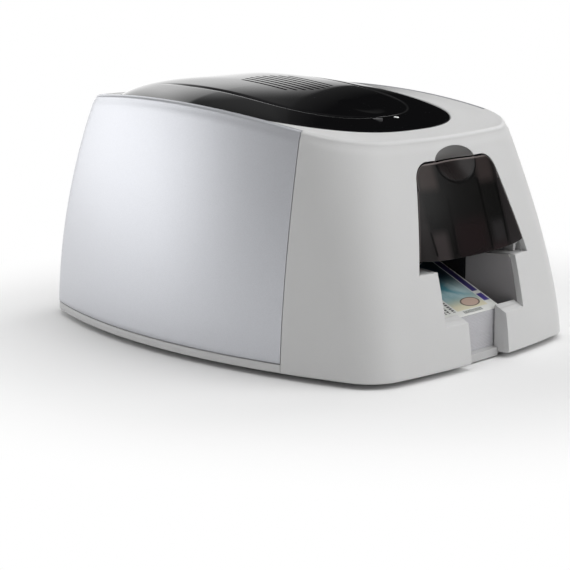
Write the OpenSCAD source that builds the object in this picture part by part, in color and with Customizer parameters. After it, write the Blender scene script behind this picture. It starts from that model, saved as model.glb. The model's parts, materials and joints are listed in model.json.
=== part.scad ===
// Desktop card printer: a bowed housing with a hinged smoked top cover, a
// drop-down hopper door, a sloping output tray and a geared card transport.
// Millimetres. X is to the right, Y to the rear, Z up; the feet stand on Z = 0.

/* [Housing] */
// Largest width across the bowed sides, at the base
housing_w = 221; // [215:1:235]
// Length from the front face to the rear face, at the base
housing_l = 311; // [308:1:325]
// Height of the rim at the front face
rim_front_z = 131; // [129:1:140]
// Height of the rim at the rear face
rim_rear_z = 145; // [143:1:152]
// Extra height of the rim half way along, above the straight line
rim_bow = 10.8; // [9:0.2:13]
// Wall of the moulded housing
wall = 3; // [2.4:0.1:3.4]
// Distance of the widest station behind the front face
widest_from_front = 116; // [105:1:125]
// Radius of the bowed sides in plan
side_arc_r = 403; // [390:1:450]
// Radius of the bowed front face in plan
front_arc_r = 507; // [450:5:700]
// Radius of the bowed rear face in plan
rear_arc_r = 420; // [350:5:600]
// Radius of the front corners at the base
base_corner_r = 24; // [20:1:30]
// Radius of the front corners at the rim
rim_corner_r = 42; // [36:1:46]
// Radius of the rear corners
rear_corner_r = 24; // [18:1:28]
// How far the sides lean in from base to rim
side_lean = 17.4; // [15:0.2:19]
// How far the front leans back from base to rim
front_lean = 32.5; // [30:0.5:34]
// How far the rear leans forward from base to rim
rear_lean = 38; // [34:0.5:39]
// Curvature of the side walls from base to rim, 1 is straight
side_bow = 1.54; // [1.2:0.02:2]
// Curvature of the front wall from base to rim
front_bow = 1.55; // [1.3:0.05:1.8]
// Curvature of the rear wall from base to rim
rear_bow = 2.15; // [1.8:0.05:2.5]
// Radius that rolls the wall over into the rim
rim_roll = 2.4; // [1.6:0.1:2.8]
// Distance of the seam between casing and side panels behind the front face
seam_from_front = 69; // [64:1:74]
// Gap along every seam of the housing
seam_gap = 0.4; // [0.3:0.05:0.8]

/* [Base] */
// Height of the underside of the housing above the table
foot_h = 3.2; // [3:0.1:5]
// Radius of a foot
foot_r = 8; // [6:0.5:10]
// Height of the base strip that shows below the side panels
strip_h = 5; // [4:0.2:6]
// Floor of the base tray
floor_t = 2.4; // [2:0.1:3]

/* [Top cover] */
// Half width of the cover where its front curve begins
cover_half_w = 84.6; // [82:0.2:85]
// Distance of that station behind the front face
cover_mid_from_front = 162.8; // [158:0.2:166]
// Reach of the cover's front curve from that station
cover_front_l = 105; // [98:0.5:107]
// Reach of the cover behind that station
cover_rear_l = 89; // [85:0.5:91]
// Squareness of the cover's front curve, 2 is an ellipse
cover_square = 2.58; // [2.2:0.02:2.9]
// Width of the rim beside the cover
cover_side_rim = 5.3; // [4.8:0.1:7]
// How far the cover's edge lies below the rim
cover_drop = 3.3; // [2.5:0.1:4]
// Height of the crown above the cover's edge
cover_crown = 9.5; // [8:0.1:11]
// Growth of the crown towards the rear, per 100 mm
crown_slope = 0.82; // [0.5:0.02:0.9]
// Wall of the cover
cover_t = 2.4; // [2:0.1:3]
// Depth of the skirt round the cover
cover_skirt = 5; // [4.5:0.1:7]
// Gap round the cover
cover_gap = 1.4; // [1.2:0.1:1.6]
// Number of vent slots in the cover
vent_n = 8; // [5:1:9]
// Width of a vent slot
vent_w = 2.6; // [2:0.1:3.2]
// Spacing of the vent slots
vent_pitch = 6.3; // [5.8:0.1:6.8]
// Length of the middle vent slot
vent_l = 48; // [36:1:54]
// Radius of the thumb dish
dish_r = 14; // [11:0.5:15]

/* [Hopper door] */
// Half width of the door opening at its foot
door_foot_half = 52.4; // [50:0.2:54]
// Half width of the door opening near its head
door_head_half = 39.9; // [37:0.1:41]
// Height of the ledge that the door stands over
ledge_z = 58.5; // [58:0.1:60]
// Height of the head of the door opening
door_head_z = 118.8; // [116:0.2:120]
// Corner radius of the door opening
door_corner_r = 9; // [6:0.5:11]
// Wall of the door
door_t = 2.2; // [1.8:0.1:2.6]
// Gap round the door
door_gap = 0.6; // [0.5:0.1:1]
// Half width of the finger scoop
scoop_half_w = 18; // [15:0.5:20]
// Half height of the finger scoop
scoop_half_h = 10.4; // [8:0.2:11]
// Radius of the door's hinge pins
door_pin_r = 1.6; // [1.4:0.1:2]
// Running clearance of pins, shafts and axles, on the radius
fit = 0.05; // [0.02:0.01:0.08]

/* [Card and output] */
// Width of a standard card
card_w = 54; // [54:0.1:54.4]
// Length of a standard card
card_l = 85.6; // [85.6:0.1:86]
// Height of the pile of printed cards, measured upright
pile_h = 22.6; // [16:0.2:23]
// Slope of the output tray, in degrees
tray_slope = 26.4; // [24:0.2:27]
// Half width of the output recess at the front
recess_half = 39; // [37:0.2:40]
// Half width of the slot in the front lip
slot_half = 19; // [16:0.5:21]
// Clearance between a card and what guides it
card_gap = 0.6; // [0.5:0.1:1]

/* [Mechanism] */
// Distance of the platen roller behind the front face
platen_from_front = 160.5; // [160:0.5:162]
// Distance between the inner faces of the two side frames
frame_gap = 90; // [89:0.5:92]
// Thickness of a side frame
frame_t = 2; // [1.6:0.1:2.4]
// Radius of the transport rollers
roller_r = 8; // [7.4:0.1:8.2]
// Radius of the roller shafts
shaft_r = 3; // [2.5:0.1:3.5]
// Height of the roller shafts
shaft_z = 64; // [63.8:0.1:64.6]
// Gear module
gear_m = 1; // [0.95:0.01:1.05]
// Teeth of a roller gear
roller_teeth = 24; // [24:4:24]
// Teeth of a small idler
idler_teeth = 16; // [16:4:16]
// Teeth of the large idler beside the hopper
feed_idler_teeth = 36; // [36:4:36]
// Teeth of a motor pinion
pinion_teeth = 12; // [12:4:12]
// Width of a gear
gear_w = 5; // [4:0.2:6]
// Radius of the ribbon roll on the supply spool
ribbon_r = 15; // [12:0.5:17]
// Radius of the ribbon roll on the take-up spool
takeup_r = 9.5; // [8:0.5:11]

/* [Hidden] */

grey = [0.80, 0.80, 0.79];
silver = [0.74, 0.75, 0.79];
smoke = [0.10, 0.10, 0.11];
steel = [0.70, 0.71, 0.72];
rubber = [0.16, 0.16, 0.17];
white_plastic = [0.88, 0.87, 0.83];

front_y = -housing_l / 2;
rear_y = housing_l / 2;
widest_y = front_y + widest_from_front;
seam_y = front_y + seam_from_front;
cover_y = front_y + cover_mid_from_front;
strip_z = foot_h + strip_h;

// ---- Housing form -------------------------------------------------------

// Half width, front and rear of the housing at the height share s, 0 base to 1 rim
function half_w(s) = housing_w / 2 - side_lean * pow(s, side_bow);
function front_at(s) = front_y + front_lean * pow(s, front_bow);
function rear_at(s) = rear_y - rear_lean * pow(s, rear_bow);
function corner_at(s) = base_corner_r + (rim_corner_r - base_corner_r) * s;

// Height of the rim at y, and share of that height at z
function along(y) = (y - front_at(1)) / (rear_at(1) - front_at(1));
function rim_z(y) = rim_front_z + (rim_rear_z - rim_front_z) * along(y) + 4 * rim_bow * along(y) * (1 - along(y));
function share(y, z) = max(0, min(1, (z - foot_h) / (rim_z(y) - foot_h)));

// The crossing with the larger x of two circles
function meet(p, r, q, t) =
  let (d = norm(q - p), a = (r * r - t * t + d * d) / (2 * d), h = sqrt(max(0, r * r - a * a)), u = (q - p) / d,
    n = [u[1], -u[0]], m = p + a * u)
  (m + h * n)[0] > (m - h * n)[0] ? m + h * n : m - h * n;
function bearing(from, to) = atan2(to[1] - from[1], to[0] - from[0]);
function arc(c, r, a, b, n) = [for (i = [0:n]) c + r * [cos(a + (b - a) * i / n), sin(a + (b - a) * i / n)]];
function tail(list) = [for (i = [1:len(list) - 1]) list[i]];

// Right half of the plan at share s, moved inwards by e, from front centre to rear centre
function half_plan(s, e) =
  let (rs = side_arc_r - e, rf = front_arc_r - e, rr = rear_arc_r - e,
    side = [half_w(s) - side_arc_r, widest_y], front = [0, front_at(s) + front_arc_r],
    rear = [0, rear_at(s) - rear_arc_r],
    cf = max(1, corner_at(s) - e), cr = max(1, rear_corner_r - e),
    f = meet(side, rs - cf, front, rf - cf), g = meet(side, rs - cr, rear, rr - cr))
  concat(arc(front, rf, -90, bearing(front, f), 4),
    tail(arc(f, cf, bearing(front, f), bearing(side, f), 5)),
    tail(arc(side, rs, bearing(side, f), bearing(side, g), 9)),
    tail(arc(g, cr, bearing(side, g), bearing(rear, g), 4)),
    arc(rear, rr, bearing(rear, g) + seam_gap / rr * 180 / PI, 90, 3));
// Places in the half plan: start of the front corner, end of the side, end of the rear corner
corner_i = 4;
rear_i = 4 + 5 + 9 + 4;
function mirrored(half) = [for (i = [len(half) - 2:-1:1]) [-half[i][0], half[i][1]]];
function plan(s, e) = let (h = half_plan(s, e)) concat(h, mirrored(h));

// The plan lifted to its height, d above or below
function ring(s, e, d) = [for (p = plan(s, e)) [p[0], p[1], foot_h + s * (rim_z(p[1]) - foot_h) + d]];

// Triangles across a long thin loop of n points, from side to side; the start number is b
function ladder(n, b, up) = [for (i = [0:(n - 3) / 2]) let (p = [b + i, b + i + 1, b + n - 2 - i, b + n - 1 - i])
  each [up ? [p[0], p[1], p[3]] : [p[3], p[1], p[0]], up ? [p[1], p[2], p[3]] : [p[3], p[2], p[1]]]];

// A skin through rings of equal count: closed by caps, or back on the first ring
module skin(rings, round_trip = false, thin = false) {
  n = len(rings[0]);
  m = len(rings);
  last = round_trip ? m - 1 : m - 2;
  sides = [for (i = [0:last], j = [0:n - 1]) let (k = (i + 1) % m, l = (j + 1) % n)
    each [[i * n + j, k * n + l, i * n + l], [i * n + j, k * n + j, k * n + l]]];
  caps = round_trip ? [] : thin ? concat(ladder(n, 0, true), ladder(n, (m - 1) * n, false)) : [[for (j = [0:n - 1]) j], [for (j = [n - 1:-1:0]) (m - 1) * n + j]];
  polyhedron([for (r = rings) each r], concat(sides, caps), convexity = 8);
}

shares = [0, 0.14, 0.28, 0.43, 0.58, 0.73, 0.87];
roll_steps = [0, 45, 90];
// Wall of the housing between the insets e0 and e1, rolled over at the rim
module housing_wall(e0, e1) {
  outer = [for (s = shares) ring(s, e0, 0)];
  rolled = [for (a = roll_steps) ring(1, e0 + rim_roll * (1 - cos(a)), rim_roll * (sin(a) - 1))];
  inner = [for (i = [len(shares) - 1:-1:0]) ring(shares[i], e1, 0)];
  skin(concat(outer, rolled, [ring(1, e1, 0), ring(1, e1, -rim_roll)], inner), true);
}

// The wall between two places of the plan
module wall_part(e0, e1, from, to) {
  rows = concat([for (s = shares) ring(s, e0, 0)],
    [for (a = roll_steps) ring(1, e0 + rim_roll * (1 - cos(a)), rim_roll * (sin(a) - 1))],
    [ring(1, e1, 0), ring(1, e1, -rim_roll)], [for (i = [len(shares) - 1:-1:0]) ring(shares[i], e1, 0)]);
  skin([for (j = [to:-1:from]) [for (r = rows) r[j]]], thin = true);
}

// Everything inside the wall's outer face, flat at the top of the roll
module housing_solid(e) {
  skin(concat([ring(0, e, -foot_h)], [for (s = shares) ring(s, e, 0)], [ring(1, e, 0)]));
}

// Space between two planes across the length, wide and high enough for the whole housing
module span_y(y0, y1) {
  translate([-housing_w, y0, -5]) cube([2 * housing_w, y1 - y0, rim_rear_z + 60]);
}

// A profile in the Y-Z plane, carried along X from x0 to x1
module along_x(x0, x1) {
  translate([x0, 0, 0]) rotate([90, 0, 90]) linear_extrude(x1 - x0) children();
}

// A profile in the X-Z plane, carried along Y from y0 to y1
module along_y(y0, y1) {
  translate([0, y1, 0]) rotate([90, 0, 0]) linear_extrude(y1 - y0) children();
}

module rod(r, x0, x1, y, z) {
  translate([x0, y, z]) rotate([0, 90, 0]) cylinder(r = r, h = x1 - x0, $fn = 48);
}

module in_pair() {
  children();
  mirror([1, 0, 0]) children();
}

// ---- Cover outline ------------------------------------------------------

// Reach from the cover's centre at the angle a, where the side follows the rim
function side_reach(a) =
  let (c = [half_w(1) - side_arc_r, widest_y - cover_y], r = side_arc_r - cover_side_rim,
    u = [abs(cos(a)), sin(a)], b = u * c)
  b + sqrt(max(1, b * b + r * r - c * c));
function front_reach(a) =
  pow(pow(abs(cos(a)) / cover_half_w, cover_square) + pow(abs(sin(a)) / cover_front_l, cover_square), -1 / cover_square);
rear_blend = 9;
function rear_reach(a) =
  pow(pow(side_reach(a), -rear_blend) + pow(sin(a) / cover_rear_l, rear_blend), -1 / rear_blend);
function reach(a) = sin(a) > 0 ? rear_reach(a) * min(1, (cover_half_w + (side_reach(0) - cover_half_w) * sin(a)) / side_reach(0))
  : front_reach(a);
function cover_point(a, k) = [k * reach(a) * cos(a), cover_y + k * reach(a) * sin(a)];
// Height of the cover's outer face at the share k of its reach
function cover_z(p, k) = rim_z(p[1]) - cover_drop
  + cover_crown * pow(1 - pow(k, 2.53), 0.63) * (1 + crown_slope * (p[1] - cover_y) / 100);
cover_top_z = cover_z([0, 10], 0.05);
inner_k = 1 - cover_t / cover_half_w;
function cover_k(p) = norm([p[0], p[1] - cover_y]) / reach(atan2(p[1] - cover_y, p[0]));
function over_z(p) = cover_z(p, cover_k(p));
function under_z(p) = cover_z(p, min(1, cover_k(p) / inner_k)) - cover_t;

hinge_back = 10.6;
hinge_y = cover_y + cover_rear_l - hinge_back;
hinge_z = rim_z(hinge_y) - cover_drop - 2.7;

// ---- Places of the mechanism --------------------------------------------

frame_in = frame_gap / 2;
frame_out = frame_in + frame_t;
card_path_z = shaft_z + roller_r;
gear_r = gear_m * roller_teeth / 2;
idler_r = gear_m * idler_teeth / 2;
feed_idler_r = gear_m * feed_idler_teeth / 2;
pinion_r = gear_m * pinion_teeth / 2;
platen_y = front_y + platen_from_front;
front_idler_y = platen_y - gear_r - idler_r;
rear_idler_y = platen_y + gear_r + idler_r;
entry_y = front_idler_y - gear_r - idler_r;
exit_y = rear_idler_y + gear_r + idler_r;
feed_idler_y = entry_y - gear_r - feed_idler_r;
feed_y = feed_idler_y - gear_r - feed_idler_r;
motor_z = shaft_z - gear_r - pinion_r;
gear_x = frame_out + 1;
pinch_r = 5;
pinch_z = shaft_z + roller_r + 0.8 + pinch_r;
supply_y = platen_y + 45;
supply_z = 100;
takeup_y = platen_y - 40;
takeup_z = 104;
takeup_pinion_z = takeup_z - gear_r - pinion_r;

board_y = hinge_y + 10;
lip_back_y = front_y + 11.1;
card_front_y = lip_back_y + 0.3;
slope = tan(tray_slope);
card_run = card_l * cos(tray_slope);
tray_z = foot_h + 3;
frame_foot = foot_h + floor_t + 0.1;
tray_side = card_w / 2 + card_gap;

// ---- Base -----------------------------------------------------------------

boss_places = [for (x = [-1, 1], y = [front_y + 70.5, rear_y - 85.5]) [x * (frame_gap / 2 + frame_t + 7), y]];
foot_places = [for (x = [-1, 1], front = [1, 0]) front > 0 ? [x * (housing_w / 2 - 38.5), front_y + 43.5] : [x * (housing_w / 2 - 56.5), rear_y - 43.5]];
screw_r = 1.5;

module base_tray() {
  color(grey) difference() {
    union() {
      translate([0, 0, foot_h]) linear_extrude(floor_t) polygon(plan(0, wall + 1 + seam_gap));
      translate([0, 0, foot_h]) linear_extrude(strip_h) difference() {
        polygon(plan(0, 0.3));
        polygon(plan(0, wall + 1.6));
        translate([-housing_w, front_y - 10]) square([2 * housing_w, seam_from_front + 10 + seam_gap]);
      }
      for (p = boss_places) translate([p[0], p[1], foot_h]) cylinder(r = 4.5, h = floor_t, $fn = 32);
      in_pair() translate([frame_in - 8, board_y - 3, foot_h]) cube([6, 7.6, floor_t + 12]);
    }
    in_pair() translate([-1, board_y - 0.1, foot_h + floor_t]) cube([frame_in - 1, 1.8, 20]);
    translate([-recess_half - wall - 0.4, front_y - 10, 0]) cube([2 * (recess_half + wall + 0.4), 28, strip_z + 5]);
    for (p = boss_places) translate([p[0], p[1], 0]) cylinder(r = screw_r + 0.2, h = 30, $fn = 24);
    for (p = boss_places) translate([p[0], p[1], 0]) cylinder(r = 3.2, h = foot_h + 1.2, $fn = 24);
    for (p = foot_places) translate([p[0], p[1], 0]) cylinder(r = foot_r - 2 + fit, h = foot_h + 1.2, $fn = 32);
  }
}

module rubber_feet() {
  color(rubber) for (p = foot_places) translate([p[0], p[1], 0]) {
    cylinder(r1 = foot_r - 0.8, r2 = foot_r, h = 1, $fn = 40);
    translate([0, 0, 1]) cylinder(r = foot_r, h = foot_h - 1, $fn = 40);
    translate([0, 0, foot_h]) cylinder(r = foot_r - 2, h = 1, $fn = 40);
  }
}

module base_screws() {
  color(steel) for (p = boss_places) translate([p[0], p[1], 0]) difference() {
    union() {
      translate([0, 0, foot_h - 0.6]) cylinder(r = 2.8, h = 1.6, $fn = 24);
      translate([0, 0, foot_h]) cylinder(r = screw_r, h = floor_t + 2.8, $fn = 24);
    }
    translate([0, 0, foot_h - 1.4]) rotate(30) cylinder(r = 1.3, h = 1.6, $fn = 6);
  }
}

// ---- Housing ----------------------------------------------------------------

// Front elevation of the door opening, drawn d smaller, with its foot at z
module door_outline(d, z) {
  hull() {
    in_pair() translate([door_head_half - door_corner_r, door_head_z - door_corner_r]) circle(r = door_corner_r - d, $fn = 32);
    in_pair() translate([door_foot_half + (door_foot_half - door_head_half) * (ledge_z + 7 - z) / 45 - d - 1, z]) square([1, 0.5]);
  }
}

module scoop_outline(d) {
  polygon([for (a = [0:12:348]) [(scoop_half_w + d) * cos(a), door_head_z - 4 + (scoop_half_h + d) * sin(a)]]);
}

// Openings of the casing, seen from the front
module front_cuts() {
  along_y(front_y - 20, front_at(1) + 30) {
    door_outline(0, ledge_z);
    translate([-recess_half, foot_h + 12]) square([2 * recess_half, ledge_z - foot_h - 11]);
    scoop_outline(0.3);
  }
  translate([-slot_half, front_y - 20, -1]) cube([2 * slot_half, 60, ledge_z]);
}

// Lips, flared walls and ledges of the output recess, on the right side
module recess_side() {
  lip_top = tray_z + pile_h + 2.3;
  along_x(slot_half, recess_half + wall)
    polygon([[front_y - 2, foot_h], [lip_back_y, foot_h], [lip_back_y, lip_top], [front_y - 2, lip_top - (lip_back_y - front_y + 2) * slope]]);
  wall_plan = [[recess_half + 3, front_y], [recess_half, front_y], [recess_half, front_y + 11], [tray_side + 0.5, front_y + 39],
    [tray_side + 0.5 + wall * 0.7, front_y + 39], [recess_half + 3, front_y + 13]];
  translate([0, 0, frame_foot]) linear_extrude(ledge_z - frame_foot) polygon(wall_plan);
  translate([0, 0, ledge_z - 2]) linear_extrude(2)
    polygon([[recess_half, front_y], [door_foot_half + 5, front_y], [door_foot_half + 5, front_y + 22], [tray_side + 5, front_y + 30]]);
}

ring_edge = wall + seam_gap;
// Directions from the cover's centre to the points of the plan, shared by the cover and its surround
cover_angles = [for (p = plan(1, ring_edge)) atan2(p[1] - cover_y, p[0])];
// Top face between the rim and the cover, sloping down to the cover's edge
module cover_surround() {
  outer = plan(1, ring_edge - 0.001);
  function lifted(points, drop) = [for (p = points) [p[0], p[1], rim_z(p[1]) - drop]];
  function edge_ring(d) = [for (a = cover_angles) cover_point(a, 1 + d / 90)];
  skin([lifted(outer, 0.4), lifted(edge_ring(cover_gap + 4), cover_drop - 0.4), lifted(edge_ring(cover_gap), cover_drop - 0.2),
    lifted(edge_ring(cover_gap), cover_drop + 6.5), lifted(edge_ring(cover_gap + 1.8), cover_drop + 6.5),
    lifted(edge_ring(cover_gap + 2), cover_drop + 2.2), lifted(outer, 3)], true);
}

module front_casing() {
  color(grey) {
    difference() {
      intersection() {
        housing_wall(0, wall + 1);
        span_y(front_y - 5, seam_y);
      }
      front_cuts();
    }
    intersection() {
      in_pair() recess_side();
      housing_solid(0.02);
    }
    cover_surround();
  }
}

// A side panel stands between the base strip and the rim, on the right of the body
module side_panel() {
  intersection() {
    wall_part(0, wall, corner_i, rear_i);
    translate([0, seam_y + seam_gap, strip_z + seam_gap]) cube([housing_w, housing_l, rim_rear_z + 40]);
  }
}

module left_side_panel() {
  color(silver) mirror([1, 0, 0]) side_panel();
}

module right_side_panel() {
  color(silver) side_panel();
}

inlet_x = 12;
inlet_z = 24;
usb_x = -12;
switch_x = 34;
fan_x = -22;
fan_z = 62;
fan_half = 20;
// Middle of the rear wall's thickness
function wall_mid(x, z) = rear_face(z) - x * x / (2 * rear_arc_r) - wall / 2;
// Four plates that lead the fan's air to the slots
module fan_duct() {
  x0 = fan_x - fan_half;
  x1 = fan_x + fan_half;
  for (z = [fan_z - fan_half, fan_z + fan_half - 2]) translate([0, 0, z]) linear_extrude(2)
    polygon(concat([[x0, fan_y + 0.05], [x1, fan_y + 0.05]], [for (i = [4:-1:0]) let (x = x0 + (x1 - x0) * i / 4) [x, wall_mid(x, z + 1)]]));
  for (x = [x0, x1 - 2]) along_x(x, x + 2)
    polygon(concat([[fan_y + 0.05, fan_z + fan_half], [fan_y + 0.05, fan_z - fan_half]],
      [for (i = [0:4]) let (z = fan_z - fan_half + 2 * fan_half * i / 4) [wall_mid(x + 1, z), z]]));
}

rear_last = 2 * len(half_plan(0, 0)) - 3 - rear_i;
module rear_panel() {
  color(grey) difference() {
    union() {
      intersection() {
        wall_part(0, wall, rear_i + 1, rear_last);
        translate([-housing_w, 0, strip_z + seam_gap]) cube([2 * housing_w, housing_l, rim_rear_z + 40]);
      }
      fan_duct();
    }
    for (i = [-3:3]) translate([fan_x - 15, fan_y + 0.5, fan_z + i * 5.2 - 1.4]) cube([30, 60, 2.8]);
    translate([inlet_x - 6.8, rear_y - 40, inlet_z - 5.8]) cube([13.6, 60, 11.6]);
    translate([usb_x - 6.6, rear_y - 40, inlet_z - 6.2]) cube([13.2, 60, 12.4]);
    translate([switch_x - 5.2, rear_y - 40, inlet_z - 7.6]) cube([10.4, 60, 15.2]);
  }
}

scoop_z = door_head_z - 4;
scoop_y = front_at(share(front_at(1), scoop_z));
scoop_lean = atan2(front_at(share(front_at(1), scoop_z + 8)) - scoop_y, 8);
scoop_t = 8;
scoop_ball_r = 34;
scoop_depth = 4.6;
// The ball that hollows the scoop, square to the leaning front
module scoop_ball(more) {
  translate([0, scoop_y, scoop_z]) rotate([90 - scoop_lean, 0, 0])
    translate([0, 0, scoop_ball_r - scoop_depth]) sphere(r = scoop_ball_r + more, $fn = 64);
}

// Dished insert in the casing, over the head of the door
module finger_scoop() {
  color(smoke) difference() {
    translate([0, scoop_y, scoop_z]) rotate([90 - scoop_lean, 0, 0]) translate([0, 0, -scoop_t]) linear_extrude(scoop_t - 0.6)
      polygon([for (a = [0:10:350]) [(scoop_half_w - 0.1) * cos(a), (scoop_half_h / cos(scoop_lean) - 0.1) * sin(a)]]);
    scoop_ball(0);
    translate([-scoop_half_w - 2, front_y, ledge_z]) cube([2 * scoop_half_w + 4, 60, door_head_z - ledge_z + 0.3]);
  }
}

// ---- Output -------------------------------------------------------------------

module output_tray() {
  z0 = tray_z;
  run = card_run + 8;
  floor_profile = [[card_front_y - 0.1, z0 - 0.3], [card_front_y + run, z0 - 0.3 + run * slope],
    [card_front_y + run, z0 - 2.6 + run * slope], [card_front_y + 6, z0 - 2.6 + 6 * slope], [card_front_y + 6, 1], [card_front_y - 0.1, 1]];
  color(grey) {
    along_x(-tray_side, tray_side) polygon(floor_profile);
    translate([-slot_half + 0.4, lip_back_y - 3, 1]) cube([2 * slot_half - 0.8, 3.6, z0 - 1.3]);
    in_pair() along_x(tray_side, tray_side + 2) polygon([[front_y + 40, foot_h + floor_t + 0.1],
      [card_front_y + run, foot_h + floor_t + 0.1], [card_front_y + run, z0 + 4 + run * slope], [card_front_y + run - 22, ledge_z], [front_y + 40, ledge_z]]);
  }
}

module printed_cards() {
  z = tray_z;
  color([0.93, 0.93, 0.95]) along_x(-card_w / 2, card_w / 2)
    polygon([[card_front_y, z], [card_front_y + card_run, z + card_run * slope], [card_front_y + card_run, z + card_run * slope + pile_h],
      [card_front_y, z + pile_h]]);
}

// ---- Frames and hopper ---------------------------------------------------------

frame_front = front_y + 42;
hopper_front = front_y + 19;
hopper_back = hopper_front + card_l + 2 * card_gap;
hopper_floor_t = 2.4;
hopper_top = 108;
shaft_places = [[feed_y, shaft_z], [entry_y, shaft_z], [platen_y, shaft_z], [exit_y, shaft_z]];
pinch_places = [[entry_y, pinch_z], [exit_y, pinch_z]];
spool_places = [[supply_y, supply_z], [takeup_y, takeup_z]];
bar_places = [[card_front_y + card_run + 16, 20], [platen_y + 4, 20], [hinge_y - 12, 20], [hinge_y - 8, 118]];
bar_r = 3;

module frame_plate(x0) {
  difference() {
    along_x(x0, x0 + frame_t) polygon([[frame_front, frame_foot], [hinge_y + 2, frame_foot], [hinge_y + 2, hinge_z - 10.5],
      [hinge_y - 4, hinge_z - 9], [hinge_y - 6, hinge_z - 7], [hinge_y - 2, hinge_z - 4.4], [hinge_y + 1.5, hinge_z - 3.1],
      [hinge_y + 3.4, hinge_z], [hinge_y + 2.2, hinge_z + 2.2], [hinge_y, hinge_z + 2.8], [hinge_y - 4, hinge_z + 2],
      [hinge_y - 16, hinge_z - 12], [supply_y + 14, supply_z + 12], [supply_y - 20, supply_z + 12], [platen_y + 16, 86],
      [platen_y - 20, 86], [takeup_y + 18, takeup_z + 8], [takeup_y - 14, takeup_z + 8], [frame_front, hopper_top - 2]]);
    for (p = shaft_places) rod(shaft_r + fit, x0 - 1, x0 + frame_t + 1, p[0], p[1]);
    for (p = pinch_places) rod(2 + fit, x0 - 1, x0 + frame_t + 1, p[0], p[1]);
    for (p = spool_places) rod(3.5 + fit, x0 - 1, x0 + frame_t + 1, p[0], p[1]);
    rod(2 + fit, x0 - 1, x0 + frame_t + 1, hinge_y, hinge_z);
    for (p = bar_places) rod(1.6, x0 - 1, x0 + frame_t + 1, p[0], p[1]);
  }
}

// Feet that the base screws hold, on the right side
module frame_feet() {
  difference() {
    for (p = boss_places) if (p[0] > 0) translate([frame_out - 0.1, p[1] - 7, frame_foot]) cube([14, 14, 2.4]);
    for (p = boss_places) translate([p[0], p[1], 0]) cylinder(r = screw_r + 0.03, h = 30, $fn = 24);
  }
}

module left_frame() {
  color(steel) {
    frame_plate(-frame_out);
    mirror([1, 0, 0]) frame_feet();
    for (y = [feed_idler_y, front_idler_y, rear_idler_y]) rod(2.5, -gear_x - gear_w - 1, -frame_out + 0.1, y, shaft_z);
  }
}

module right_frame() {
  color(steel) {
    frame_plate(frame_in);
    frame_feet();
  }
}

module frame_bars() {
  color(steel) for (p = bar_places) {
    rod(bar_r, -frame_in, frame_in, p[0], p[1]);
    rod(1.6, -frame_out - 0.4, frame_out + 0.4, p[0], p[1]);
    in_pair() rod(2.8, frame_out, frame_out + 1.6, p[0], p[1]);
  }
}

module card_hopper() {
  floor_z = card_path_z - hopper_floor_t - 0.4;
  outer = frame_in - 0.3;
  color(smoke) difference() {
    union() {
      translate([-outer, hopper_front, floor_z]) cube([2 * outer, hopper_back + 2 - hopper_front, hopper_floor_t]);
      in_pair() along_x(outer - 2, outer) polygon([[hopper_front, floor_z], [hopper_back + 2, floor_z], [hopper_back + 2, hopper_top],
        [hopper_front + 14, hopper_top]]);
      in_pair() along_x(tray_side, tray_side + 1.8) polygon([[hopper_front + 5, floor_z], [hopper_back - 6, floor_z],
        [hopper_back - 6, floor_z + 22], [hopper_front + 12, floor_z + 22]]);
      translate([-outer, hopper_back, card_path_z + 1.2]) cube([2 * outer, 2, hopper_top - card_path_z - 1.2]);
      translate([-outer, hopper_back, floor_z]) cube([2 * outer, 2, hopper_floor_t]);
    }
    translate([-24, feed_y - roller_r - 1, floor_z - 1]) cube([48, 2 * roller_r + 2, hopper_floor_t + 2]);
    translate([-6, hopper_back - 1, card_path_z + 1]) cube([12, 4, hopper_top]);
  }
}

weight_lift = 24;
// A weighted plate that presses the pile of blank cards on the feed roller
module card_weight() {
  z = card_path_z + 0.3;
  color(white_plastic) {
    translate([-tray_side + 0.6, feed_y - 16, z]) cube([2 * tray_side - 1.2, 34, 3]);
    in_pair() translate([14, feed_y - 12, z + 2.9]) cube([2, 26, 5]);
    translate([-5.6, feed_y + 17.9, z + 1]) cube([11.2, hopper_back - feed_y - 14.6, 3]);
    translate([-9, hopper_back + 2.4, z + 1]) cube([18, 1.2, 8]);
  }
}

// ---- Hopper door ---------------------------------------------------------------------

door_axis_z = ledge_z + 7;
door_axis_y = front_at(share(front_at(0.5), door_axis_z)) + 8.1;
door_ear_x = door_foot_half - 6.4;
module door_hinge_blocks() {
  color(grey) in_pair() difference() {
    translate([0, door_axis_y, door_axis_z]) along_x(door_ear_x + 2.3, door_ear_x + 4.5) polygon([[-0.9, ledge_z + 0.1 - door_axis_z],
      [6, ledge_z + 0.1 - door_axis_z], [4, 2], [2, 2.7], [0, 2.8], [-2, 2], [-2.8, 0], [-2.2, -1.7], [-1.1, -2.6]]);
    rod(door_pin_r + fit, door_ear_x + 1, door_ear_x + 6, door_axis_y, door_axis_z);
  }
}

module door_face(d, z) {
  difference() {
    door_outline(d, z);
    polygon([for (i = [-8:8]) [i * 8, ledge_z + 5.2 + pow(i / 8, 2) * 2.4], [64, 0], [-64, 0]]);
  }
}

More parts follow.
